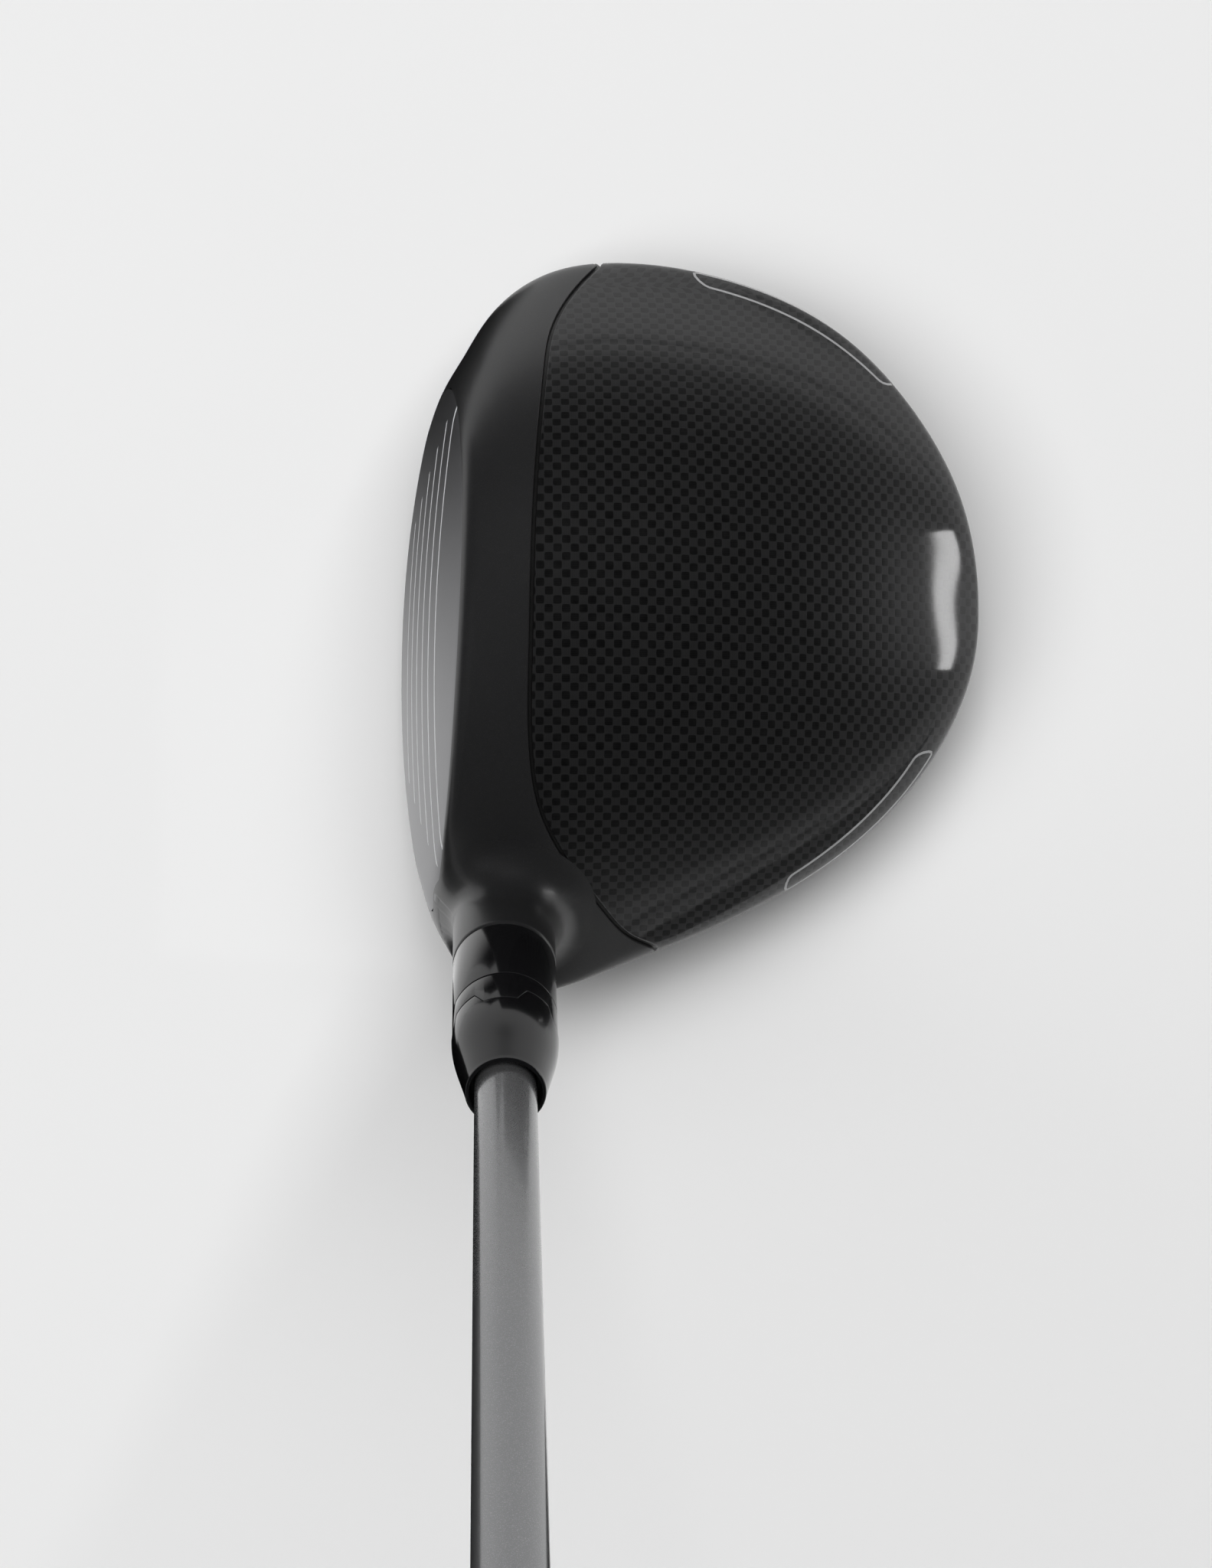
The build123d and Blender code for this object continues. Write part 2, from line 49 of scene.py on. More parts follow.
# Helpers for shaders.
class Lead:
    # One socket of a node tree that can be used in plain arithmetic.
    def __init__(self, tree, socket=None):
        self.tree = tree
        self.socket = socket

    def node(self, kind, settings=None, sockets=None, out=0):
        made = self.tree.nodes.new("ShaderNode" + kind)
        for name, value in (settings or {}).items():
            if name == "stops":
                ramp = made.color_ramp
                while len(ramp.elements) < len(value):
                    ramp.elements.new(0.5)
                for element, (place, grey) in zip(ramp.elements, value):
                    element.position = place
                    element.color = (*grey, 1.0)
            else:
                setattr(made, name, value)
        for key, value in (sockets or {}).items():
            entry = made.inputs[key]
            if isinstance(value, Lead):
                self.tree.links.new(value.socket, entry)
            else:
                entry.default_value = value
        return Lead(self.tree, made.outputs[out]) if len(made.outputs) else made

    def maths(self, operation, first, second=0.0):
        return self.node("Math", {"operation": operation}, {0: first, 1: second})

    def __add__(self, other):
        return self.maths("ADD", self, other)

    def __sub__(self, other):
        return self.maths("SUBTRACT", self, other)

    def __rsub__(self, other):
        return self.maths("SUBTRACT", other, self)

    def __mul__(self, other):
        return self.maths("MULTIPLY", self, other)

    def __truediv__(self, other):
        return self.maths("DIVIDE", self, other)

    __radd__ = __add__
    __rmul__ = __mul__

    def wave(self):
        return self.maths("SINE", self)

    def size(self):
        return self.maths("ABSOLUTE", self)

    def between(self, low, high):
        # 0 under the low value, 1 over the high one, smooth in between.
        return self.node("MapRange", {"interpolation_type": "SMOOTHSTEP"},
                         {"Value": self, "From Min": low, "From Max": high})

    def millimetres(self):
        place = self.node("TexCoord", out=3)
        return place.node("VectorMath", {"operation": "SCALE"}, {0: place, "Scale": 1 / mm})

    def stretched(self, x, y, z):
        return self.node("VectorMath", {"operation": "MULTIPLY"}, {0: self, 1: (x, y, z)})

    def along(self, direction):
        return self.node("VectorMath", {"operation": "DOT_PRODUCT"}, {0: self, 1: direction}, 1)

    def far(self, centre):
        return self.node("VectorMath", {"operation": "DISTANCE"}, {0: self, 1: centre}, 1)

    def noise(self, scale, detail=2.0):
        return self.node("TexNoise", {}, {"Vector": self, "Scale": scale, "Detail": detail})

    def axis(self, index):
        return self.node("SeparateXYZ", {}, {0: self}, index)

    def blend(self, first, second):
        # First colour where this is 0, second where it is 1.
        def colour(value):
            return value if isinstance(value, Lead) else (*value, 1.0)
        return self.node("Mix", {"data_type": "RGBA"}, {0: self, 6: colour(first), 7: colour(second)}, 2)

    def bump(self, distance, strength=1.0):
        return self.node("Bump", {}, {"Height": self, "Distance": distance, "Strength": strength})


def finish(name, fixed, build):
    # fixed holds the shader's constant inputs; build gives the inputs that vary over the surface.
    material = bpy.data.materials.new(name)
    material.use_nodes = True
    tree = material.node_tree
    tree.nodes.clear()
    place = Lead(tree).millimetres()
    inputs = dict(fixed)
    inputs.update(build(place))
    shader = place.node("BsdfPrincipled", {}, inputs)
    place.node("OutputMaterial", {}, {"Surface": shader})
    return material


# The head's form, in millimetres.
headForm = {
    "leadingEdge": -36.2,
    "depth": 91.0,
    "length": 116.0,
    "height": 50.0,
    "skirtHeight": 18.0,
    "middle": (5.0, 0.0),        # the columns of the mesh fan out from here
    "blankFront": -48.0,
    "crownApex": (-18.0, 2.0),
    "crownFall": (0.0050, 0.0080),
    "soleRise": (0.0028, 0.0034),
    "soleDrop": 0.35,
    "crownPower": 4,             # how squarely the crown and the sole fall to the rim
    "solePower": 3,
    "backPower": 8,
    "faceMiddle": (-32.65, -10.0, 26.0),
    "ballRadius": 300.0,         # the face lies on this ball
    "loft": 12.0,
    "outlineSteps": 4000,
    "columns": 900,
    "samples": 200,
    "edgeRound": 2.2,
    "kneeShare": 0.7,            # where the face starts, as a share of its edge's rounding
    "shortFace": 9.0,            # columns with less face than this have a smaller rounding
    "leastRound": 0.01,
    "cornerReach": 16,           # columns eased on each side of the face's ends
    "cornerPower": 4,
    "cornerPasses": 3,
    "cornerBlend": 6,            # columns averaged on each side, in each pass
    "leastSpan": 0.05,
}
outlineShape = [
    (-0.13, -0.275), (-0.075, -0.292), (0.0, -0.343), (0.066, -0.412), (0.10, -0.458), (0.145, -0.486),
    (0.205, -0.496), (0.287, -0.484), (0.39, -0.453), (0.512, -0.415), (0.625, -0.373), (0.789, -0.29),
    (0.893, -0.207), (0.958, -0.124), (0.993, -0.041), (1.0, 0.043), (0.974, 0.169), (0.892, 0.294),
    (0.731, 0.419), (0.556, 0.478), (0.372, 0.498), (0.262, 0.485), (0.156, 0.426), (0.088, 0.34),
    (0.0, 0.262), (-0.075, 0.215), (-0.13, 0.19),
]


def smoothCurve(points, steps):
    # A natural cubic spline through the points, evenly stepped along it.
    p = np.array(points, float)
    t = np.concatenate([[0], np.cumsum(np.linalg.norm(np.diff(p, axis=0), axis=1))])
    h = np.diff(t)
    count = len(t)
    rows = np.eye(count)
    right = np.zeros_like(p)
    for i in range(1, count - 1):
        rows[i, i - 1:i + 2] = h[i - 1], 2 * (h[i - 1] + h[i]), h[i]
        right[i] = 6 * ((p[i + 1] - p[i]) / h[i] - (p[i] - p[i - 1]) / h[i - 1])
    bend = np.linalg.solve(rows, right)
    at = np.linspace(0, t[-1], steps)
    k = np.clip(np.searchsorted(t, at, side="right") - 1, 0, count - 2)
    u = (at - t[k])[:, None]
    w = h[k][:, None]
    return (bend[k] * (w - u) ** 3 / (6 * w) + bend[k + 1] * u ** 3 / (6 * w)
            + (p[k] / w - bend[k] * w / 6) * (w - u) + (p[k + 1] / w - bend[k + 1] * w / 6) * u)


outline = smoothCurve([(headForm["leadingEdge"] + a * headForm["depth"], b * headForm["length"])
                       for a, b in outlineShape], headForm["outlineSteps"])
backIndex = int(outline[:, 0].argmax())
headBack = outline[backIndex, 0]
loftCos = math.cos(math.radians(headForm["loft"]))
loftSin = math.sin(math.radians(headForm["loft"]))
ballMiddle = np.array(headForm["faceMiddle"]) + headForm["ballRadius"] * np.array([loftCos, 0, -loftSin])


def fullness(x, y, exponent):
    # How much of the full crown or sole height is left at this place: 1 in the middle, 0 at the rim.
    low = np.interp(x, outline[:backIndex + 1, 0], outline[:backIndex + 1, 1])
    high = np.interp(x, outline[:backIndex - 1:-1, 0], outline[:backIndex - 1:-1, 1])
    share = np.abs(y - (low + high) / 2) / np.maximum((high - low) / 2, 1e-9)
    front = headForm["blankFront"]
    closing = np.clip(1 - ((x - front) / (headBack - front)) ** headForm["backPower"], 0, 1)
    return np.sqrt(np.clip(1 - np.minimum(share, 1) ** exponent, 0, 1) * closing)


def crownAt(x, y):
    apex, fall = headForm["crownApex"], headForm["crownFall"]
    top = headForm["height"] - fall[0] * (x - apex[0]) ** 2 - fall[1] * (y - apex[1]) ** 2
    return headForm["skirtHeight"] + (top - headForm["skirtHeight"]) * fullness(x, y, headForm["crownPower"])


def soleAt(x, y):
    rise = headForm["soleRise"]
    low = rise[0] * x ** 2 + rise[1] * y ** 2 - headForm["soleDrop"]
    deep = (headForm["skirtHeight"] - low) * fullness(x, y, headForm["solePower"])
    return np.maximum(headForm["skirtHeight"] - deep, 0)


def rimDistance(angles):
    # From the middle to the outline, where each column's ray crosses the outline's own segments.
    ring = np.vstack([outline, outline[:1]]) - headForm["middle"]
    turn = np.unwrap(np.arctan2(ring[:, 1], ring[:, 0]))
    wanted = turn[0] + (angles - turn[0]) % (2 * math.pi)
    k = np.clip(np.searchsorted(turn, wanted, side="right") - 1, 0, len(ring) - 2)
    start, step = ring[k], ring[k + 1] - ring[k]
    dx, dy = np.cos(angles), np.sin(angles)
    return (start[:, 0] * step[:, 1] - start[:, 1] * step[:, 0]) / (dx * step[:, 1] - dy * step[:, 0])


# Each column is one line down the head: crown, rounded edge, face where there is one, edge, sole.
columnAngles = np.arange(headForm["columns"]) * 2 * math.pi / headForm["columns"]
columnWay = np.stack([np.cos(columnAngles), np.sin(columnAngles)], 1)
columnRim = rimDistance(columnAngles)


def sheetPoint(share, height):
    # Points at shares (column, row) of the way out to the rim, on the crown or the sole.
    distance = columnRim[:, None] * np.sin(share * math.pi / 2)
    x = headForm["middle"][0] + distance * columnWay[:, :1]
    y = headForm["middle"][1] + distance * columnWay[:, 1:]
    z = height(x, y)
    z = np.where(share >= 1, headForm["skirtHeight"], z)
    return np.stack([x, y, z], 2)


def outsideBall(points):
    return np.linalg.norm(points - ballMiddle, axis=-1) - headForm["ballRadius"]


def lengthsOf(points):
    steps = np.linalg.norm(np.diff(points, axis=-2), axis=-1)
    return np.concatenate([np.zeros((len(points), 1)), np.cumsum(steps, axis=1)], axis=1)


def facePoints(way, start, end, steps):
    # Points on the ball down one column, between two places on its edge.
    points = np.linspace(start, end, steps)
    away = points - ballMiddle
    across = away[:, :2] @ way
    spare = headForm["ballRadius"] ** 2 - (away ** 2).sum(1) + across ** 2
    points[:, :2] += (-across - np.sqrt(spare))[:, None] * way
    toStart = np.linalg.norm(points - start, axis=1) + np.linalg.norm(points - end, axis=1)
    other = np.linspace(start, end, steps)
    other[:, :2] += (-across + np.sqrt(spare))[:, None] * way
    toOther = np.linalg.norm(other - start, axis=1) + np.linalg.norm(other - end, axis=1)
    return np.where((toStart < toOther)[:, None], points, other)


def buildColumns():
    samples = headForm["samples"]
    spread = np.linspace(0, 1, samples)[None, :] * np.ones((len(columnAngles), 1))
    whole = np.concatenate([sheetPoint(spread, crownAt), sheetPoint(spread, soleAt)[:, -2::-1]], axis=1)
    outside = outsideBall(whole)
    points, knees = [], []
    for j, way in enumerate(columnWay):
        line = whole[j]
        out = np.where(outside[j] > 0)[0]
        first = last = samples - 1
        size = 0.0
        if len(out):
            a, b = out[0], out[-1]
            before, after = outside[j, [a - 1, a]], outside[j, [b, b + 1]]
            start = line[a - 1] + (line[a] - line[a - 1]) * before[0] / (before[0] - before[1])
            end = line[b] + (line[b + 1] - line[b]) * after[0] / (after[0] - after[1])
            face = facePoints(way, start, end, samples)
            line = np.vstack([line[:a], face, line[b + 1:]])
            first, last = a, a + samples - 1
            size = headForm["edgeRound"] * min(1.0, np.linalg.norm(end - start) / headForm["shortFace"])
        run = lengthsOf(line[None])[0]
        knee = (run[first] + headForm["kneeShare"] * size, run[last] - headForm["kneeShare"] * size)
        if size > headForm["leastRound"]:
            for place in (first, last):
                near = np.abs(run - run[place]) < size
                ends = [np.array([np.interp(run[place] + side * size, run, line[:, c]) for c in range(3)])
                        for side in (-1, 1)]
                corner = line[place].copy()
                t = ((run[near] - run[place] + size) / (2 * size))[:, None]
                line[near] = (1 - t) ** 2 * ends[0] + 2 * t * (1 - t) * corner + t ** 2 * ends[1]
        real = lengthsOf(line[None])[0]
        even = np.linspace(0, real[-1], 4 * samples)
        points.append(np.stack([np.interp(even, real, line[:, c]) for c in range(3)], 1))
        knees.append([np.interp(k, run, real) for k in knee])
    return np.array(points), np.array(knees)


def roundedCorners(points, spans):
    # Eases the two upright corners, where the face's ends run into the heel and the toe.
    faced = spans > headForm["leastSpan"]
    ends = [j for j in range(len(faced)) if faced[j] != faced[j - 1]]
    smooth, reach = points, headForm["cornerBlend"]
    for _ in range(headForm["cornerPasses"]):
        smooth = np.mean([np.roll(smooth, k, axis=0) for k in range(-reach, reach + 1)], axis=0)
    weight = np.zeros(len(faced))
    for end in ends:
        away = np.abs((np.arange(len(faced)) - end + len(faced) // 2) % len(faced) - len(faced) // 2)
        weight = np.maximum(weight, np.exp(-(away / headForm["cornerReach"]) ** headForm["cornerPower"]))
    return points + (smooth - points) * weight[:, None, None]


columnPoints, columnKnees = buildColumns()
columnPoints = roundedCorners(columnPoints, columnKnees[:, 1] - columnKnees[:, 0])
columnRun = lengthsOf(columnPoints)


def columnNormals():
    down = np.gradient(columnPoints, axis=1)
    around = np.roll(columnPoints, -1, axis=0) - np.roll(columnPoints, 1, axis=0)
    normal = np.cross(down, around)
    normal /= np.maximum(np.linalg.norm(normal, axis=2, keepdims=True), 1e-9)
    normal[:, :3] = (0, 0, 1)
    normal[:, -3:] = (0, 0, -1)
    return normal


columnNormal = columnNormals()


def onHead(lengths, inset=0.0):
    # Points at these lengths down each column, sunk by the inset.
    points = np.empty((*lengths.shape, 3))
    for j in range(len(lengths)):
        for c in range(3):
            place = np.interp(lengths[j], columnRun[j], columnPoints[j, :, c])
            way = np.interp(lengths[j], columnRun[j], columnNormal[j, :, c])
            points[j, :, c] = place - inset * way
    return points


def between(start, end, rows):
    share = np.linspace(0, 1, rows)[None, :]
    return start[:, None] + (end - start)[:, None] * share


# The crown seam.
seamForm = {
    "frontX": -16.5,
    "heelY": -58.0,
    "footHeight": 15.5,
    "grooveWidth": 0.6,
    "grooveDepth": 0.38,
    "panelThickness": 0.9,
    "steps": 600,
    "blend": 2,                  # columns averaged on each side
    "points": [
        (48, -19), (32, -1), (21, 7.2), (16, 9.2), (11.5, 13.5), (5.5, 21), (1.6, 28.5), (0.2, 36),
        (0, 51), (0.4, 69), (1.5, 87), (2.4, 96), (3.4, 102.5), (6.0, 108.5), (11, 115), (22, 125),
    ],
}


def seamLengths(shift):
    # How far down each column the seam lies, moved inwards by the shift.
    corners = [(seamForm["frontX"] + a, seamForm["heelY"] + b) for a, b in seamForm["points"]]
    line = smoothCurve(corners, seamForm["steps"])
    way = np.gradient(line, axis=0)
    way /= np.linalg.norm(way, axis=1, keepdims=True)
    line = line + shift * np.stack([way[:, 1], -way[:, 0]], 1)
    x, y, z = columnPoints[..., 0], columnPoints[..., 1], columnPoints[..., 2]
    spare = np.minimum(x - np.interp(y, line[:, 1], line[:, 0]), z - seamForm["footHeight"] - shift)
    found = []
    for j in range(len(spare)):
        k = int(np.argmax(spare[j] < 0))
        share = spare[j, k - 1] / (spare[j, k - 1] - spare[j, k])
        found.append(columnRun[j, k - 1] + share * (columnRun[j, k] - columnRun[j, k - 1]))
    found = np.array(found)
    reach = seamForm["blend"]
    return np.mean([np.roll(found, k) for k in range(-reach, reach + 1)], axis=0)


# Meshes.
def builtMesh(name, vertices, faces, weld=0.0, thin=0.0):
    # Takes points in millimetres; weld and thin are distances in metres.
    mesh = bpy.data.meshes.new(name)
    mesh.from_pydata([tuple(v) for v in np.asarray(vertices, float) * mm], [], faces)
    work = bmesh.new()
    work.from_mesh(mesh)
    if weld:
        bmesh.ops.remove_doubles(work, verts=work.verts, dist=weld)
    if thin:
        bmesh.ops.dissolve_degenerate(work, edges=work.edges, dist=thin)
    bmesh.ops.recalc_face_normals(work, faces=work.faces)
    work.to_mesh(mesh)
    work.free()
    return mesh


def newPiece(name, vertices, faces, body, slot, material, replaced=(), sharpAngle=40):
    mesh = builtMesh(name, vertices, faces, weld=2e-6, thin=1e-6)
    piece = bpy.data.objects.new(name, mesh)
    bpy.context.scene.collection.objects.link(piece)
    mesh.materials.append(material)
    smoothMesh(mesh, sharpAngle)
    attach(piece, body)
    if replaced:
        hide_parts(*replaced)
    return piece


def smoothMesh(mesh, sharpAngle):
    mesh.polygons.foreach_set("use_smooth", [True] * len(mesh.polygons))
    mesh.set_sharp_from_angle(angle=math.radians(sharpAngle))


def gridFaces(columns, rows, wrapColumns=True, wrapRows=False, first=0):
    faces = []
    for j in range(columns if wrapColumns else columns - 1):
        for i in range(rows if wrapRows else rows - 1):
            a, b = j * rows, (j + 1) % columns * rows
            c = (i + 1) % rows
            faces.append((first + a + i, first + b + i, first + b + c, first + a + c))
    return faces


lieAngle = math.radians(58)
shaftWay = Vector((0, -math.cos(lieAngle), math.sin(lieAngle)))
hoselRim = Vector((-20.0, -53.3, 42.0))


def frameOf(origin, across, way):
    side = way.cross(across)
    return np.array([across, side, way]), np.array(origin)


shaftFrame = frameOf(hoselRim, Vector((1, 0, 0)), shaftWay)


def placed(points, place):
    rows, origin = place
    return np.asarray(points, float) @ rows + origin


def lathe(profile, segments, place, closed=True):
    # profile holds (radius, height) pairs, or a function of the angle that gives them.
    angles = np.arange(segments) * 2 * math.pi / segments
    grid = []
    for angle in angles:
        line = profile(angle) if callable(profile) else profile
        grid.append([(r * math.cos(angle), r * math.sin(angle), z) for r, z in line])
    grid = np.array(grid)
    return placed(grid.reshape(-1, 3), place), gridFaces(segments, grid.shape[1], True, closed)


def cutPiece(piece, vertices, faces, sharpAngle=40):
    # Takes the closed tool shapes out of the piece.
    tool = bpy.data.objects.new("tool", builtMesh("tool", vertices, faces, weld=1e-7))
    bpy.context.scene.collection.objects.link(tool)
    cut = piece.modifiers.new("cut", "BOOLEAN")
    cut.operation = "DIFFERENCE"
    cut.solver = "EXACT"
    cut.object = tool
    bpy.context.view_layer.update()
    ready = bpy.data.meshes.new_from_object(piece.evaluated_get(bpy.context.evaluated_depsgraph_get()))
    piece.modifiers.clear()
    old = piece.data
    piece.data = ready
    bpy.data.meshes.remove(old)
    bpy.data.objects.remove(tool)
    smoothMesh(ready, sharpAngle)


def joined(shapes):
    vertices, faces = [], []
    for points, quads in shapes:
        faces += [tuple(i + len(vertices) for i in quad) for quad in quads]
        vertices += [tuple(p) for p in points]
    return vertices, faces


scoreForm = {
    "count": 6, "pitch": 4.4, "width": 0.42, "depth": 0.3, "first": 12.6, "middle": -3.5,
    "halfLengths": (20.5, 37.5), "stations": 48, "toolHeight": 6,
    # how far from a line's middle and past its end the paint fades, and where it stops, in rows
    "paintHalf": (0.24, 0.32), "paintEnd": 0.3, "rowEdge": (0.4, 0.5),
}


# Finishes.
def bandPaint(place):
    flake = place.noise(9.0, 2.0).between(0.52, 0.72)
    cloud = place.noise(0.05, 3.0)
    grain = place.noise(5.0, 4.0)
    return {
        "Base Color": flake.blend((0.0135, 0.0135, 0.014), (0.026, 0.026, 0.027)),
        "Roughness": 0.30 + cloud * 0.10 + grain * 0.05,
        "Normal": grain.bump(0.00001, 0.25),
    }


def faceMetal(place):
    brushed = place.stretched(2.0, 0.06, 2.0).noise(3.0, 4.0)
    row = (place.axis(2) - scoreForm["first"]) / scoreForm["pitch"]
    nearest = row.maths("ROUND", row)
    short, long = scoreForm["halfLengths"]
    half = short + row * ((long - short) / (scoreForm["count"] - 1))
    off = (row - nearest).size() * scoreForm["pitch"]
    reach = (place.axis(1) - scoreForm["middle"]).size() - half
    paint = (1 - off.between(*scoreForm["paintHalf"])) * (1 - reach.between(0.0, scoreForm["paintEnd"]))
    near, past = scoreForm["rowEdge"]
    last = scoreForm["count"] - 1
    paint = paint * row.between(-past, -near) * (1 - row.between(last + near, last + past))
    base = brushed.blend((0.13, 0.13, 0.135), (0.21, 0.21, 0.22))
    return {
        "Base Color": paint.blend(base, (0.62, 0.63, 0.64)),
        "Metallic": 0.85 - paint * 0.85,
        "Roughness": 0.34 + brushed * 0.12,
        "Normal": brushed.bump(0.00002, 0.2),
    }


weaveForm = {"cell": 1.3, "light": (0.046, 0.046, 0.047), "dark": (0.0016, 0.0016, 0.0017), "strands": 9}


def carbonWeave(place):
    # Plain weave: strands along x and along y pass over each other in turn.
    at = place.node("Attribute", {"attribute_name": "weave"}, {}, 1)
    u, v = at.axis(0) * (math.pi / weaveForm["cell"]), at.axis(1) * (math.pi / weaveForm["cell"])
    sway = place.noise(0.35, 2.0) * 0.35
    checker = ((u + sway).wave() * (v + sway).wave()).between(-0.12, 0.0)
    crown = checker * v.wave().size() + (1 - checker) * u.wave().size()
    strand = weaveForm["strands"]
    threads = checker * (u * strand).wave() + (1 - checker) * (v * strand).wave()
    tint = checker * 0.80 + threads * 0.05 + place.noise(0.6, 2.0) * 0.25
    return {
        "Base Color": tint.blend(weaveForm["dark"], weaveForm["light"]),
        "Roughness": 0.34 + checker * 0.10 + threads * 0.03,
        "Metallic": 0.35 + checker * 0.35,
        "Normal": (crown * 0.6 + threads * 0.08).bump(0.00004, 0.35),
    }


def blackEpoxy(place):
    lump = place.noise(1.4, 3.0)
    return {
        "Base Color": lump.blend((0.004, 0.004, 0.004), (0.010, 0.010, 0.010)),
        "Roughness": 0.25 + lump * 0.2,
        "Normal": lump.bump(0.00005, 0.4),
    }


def hotMelt(place):
    lump = place.noise(0.3, 3.0)
    return {
        "Base Color": lump.blend((0.50, 0.40, 0.22), (0.66, 0.56, 0.36)),
        "Roughness": 0.30 + lump * 0.2,
        "Normal": lump.bump(0.0003, 0.6),
    }


def turnedSteel(place):
    # Fine rings left by the lathe, round the middle of the front weight.
    ring = (place.far(tuple(frontMiddle)) * 14.0).wave()
    brushed = place.noise(1.2, 3.0)
    return {
        "Base Color": brushed.blend((0.36, 0.36, 0.37), (0.50, 0.50, 0.51)),
        "Roughness": 0.24 + brushed * 0.12 + ring * 0.03,
        "Normal": (ring * 0.3 + brushed * 0.2).bump(0.00001, 0.4),
    }


def screwSteel(place):
    brushed = place.noise(2.5, 3.0)
    return {
        "Base Color": brushed.blend((0.09, 0.09, 0.095), (0.16, 0.16, 0.165)),
        "Roughness": 0.28 + brushed * 0.16,
        "Normal": brushed.bump(0.00002, 0.4),
    }


def clipPlastic(place):
    grain = place.noise(3.0, 3.0)
    return {
        "Base Color": grain.blend((0.62, 0.61, 0.58), (0.74, 0.73, 0.70)),
        "Roughness": 0.42 + grain * 0.12,
        "Normal": grain.bump(0.00002, 0.3),
    }


def adapterGloss(place):
    dust = place.noise(6.0, 4.0).between(0.60, 0.80)
    cloud = place.noise(0.12, 2.0)
    return {
        "Base Color": dust.blend((0.0045, 0.0045, 0.005), (0.022, 0.022, 0.023)),
        "Roughness": 0.11 + cloud * 0.05 + dust * 0.12,
        "Normal": cloud.bump(0.00002, 0.15),
    }


def sleeveAluminium(place):
    ring = (place.along(tuple(shaftWay)) * 22.0).wave()
    brushed = place.noise(1.5, 3.0)
    return {
        "Base Color": brushed.blend((0.55, 0.56, 0.57), (0.70, 0.71, 0.72)),
        "Roughness": 0.26 + brushed * 0.10 + ring * 0.03,
        "Normal": (ring * 0.5).bump(0.00001, 0.4),
    }


def shaftPaint(place):
    # A silver coat with flake, over sanding lines that run round the tube.
    across = place.along(tuple(shaftWay))
    sanding = (across * 9.0 + place.noise(0.4, 2.0) * 3.0).wave()
    flake = place.noise(7.0, 2.0).between(0.50, 0.74)
    cloud = place.noise(0.03, 2.0)
    return {
        "Base Color": flake.blend((0.215, 0.217, 0.222), (0.34, 0.342, 0.348)),
        "Roughness": 0.24 + cloud * 0.08 + flake * 0.06,
        "Metallic": 0.72 + flake * 0.2,
        "Normal": (sanding * 0.1 + flake * 0.2).bump(0.00001, 0.2),
    }


def clothTape(place):
    thread = (place.along(tuple(shaftWay)) * 9.0).wave() * (place.axis(0) * 9.0).wave()
    return {
        "Base Color": thread.between(-0.5, 0.5).blend((0.50, 0.47, 0.40), (0.64, 0.60, 0.52)),
        "Roughness": 0.70 + thread * 0.08,
        "Normal": thread.bump(0.00005, 0.6),
    }


def gripRubber(place):
    grain = place.noise(2.2, 5.0)
    wear = place.noise(0.02, 3.0).between(0.45, 0.7)
    return {
        "Base Color": wear.blend((0.012, 0.012, 0.012), (0.022, 0.022, 0.022)),
        "Roughness": 0.58 + grain * 0.16 - wear * 0.08,
        "Normal": grain.bump(0.00008, 0.5),
    }


def linePaint(place):
    speck = place.noise(4.0, 3.0)
    return {
        "Base Color": speck.blend((0.30, 0.30, 0.305), (0.38, 0.38, 0.385)),
        "Roughness": 0.30 + speck * 0.12,
    }


frontMiddle = np.mean([list(corner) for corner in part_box("front_weight")], axis=0) / mm

gloss = {"Coat Roughness": 0.06, "Specular IOR Level": 0.4}
lacquer = {"Coat Weight": 0.55, "Coat Roughness": 0.06, "Specular IOR Level": 0.3}
paints = {
    "satin_paint": finish("satin_paint", {"Coat Weight": 0.35, "Coat Roughness": 0.22}, bandPaint),
    "face_metal": finish("face_metal", {"Coat Weight": 0.25, "Coat Roughness": 0.15}, faceMetal),
    "woven_carbon": finish("woven_carbon", lacquer, carbonWeave),
    "black_epoxy": finish("black_epoxy", {}, blackEpoxy),
    "hot_melt": finish("hot_melt", {"Subsurface Weight": 0.15}, hotMelt),
    "weight_metal": finish("weight_metal", {"Metallic": 1.0}, turnedSteel),
    "screw_steel": finish("screw_steel", {"Metallic": 1.0}, screwSteel),
    "clip_plastic": finish("clip_plastic", {}, clipPlastic),
    "adapter_gloss": finish("adapter_gloss", {"Coat Weight": 0.25, **gloss}, adapterGloss),
    "sleeve_aluminium": finish("sleeve_aluminium", {"Metallic": 1.0}, sleeveAluminium),
    "shaft_paint": finish("shaft_paint", {"Coat Weight": 0.7, "Coat Roughness": 0.08}, shaftPaint),
    "tape": finish("tape", {}, clothTape),
    "grip_rubber": finish("grip_rubber", {}, gripRubber),
    "line_paint": finish("line_paint", {"Coat Weight": 0.8, "Coat Roughness": 0.05}, linePaint),
}
print("finishes ready")

# CAD pieces that keep their shape get their finish here.
keptNodes = {
    "hot_melt_pad": "hot_melt", "front_weight_screw": "screw_steel", "rear_weight_screw": "screw_steel",
    "hosel_bolt": "screw_steel", "bolt_washer": "screw_steel", "bolt_clip": "clip_plastic",
    "shaft_sleeve": "sleeve_aluminium", "tip_epoxy": "black_epoxy", "tip_plug": "clip_plastic",
    "grip_tape": "tape",
}
for nodeName, slotName in keptNodes.items():
    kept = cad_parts[nodeName].data.materials
    kept.clear()
    kept.append(paints[slotName])


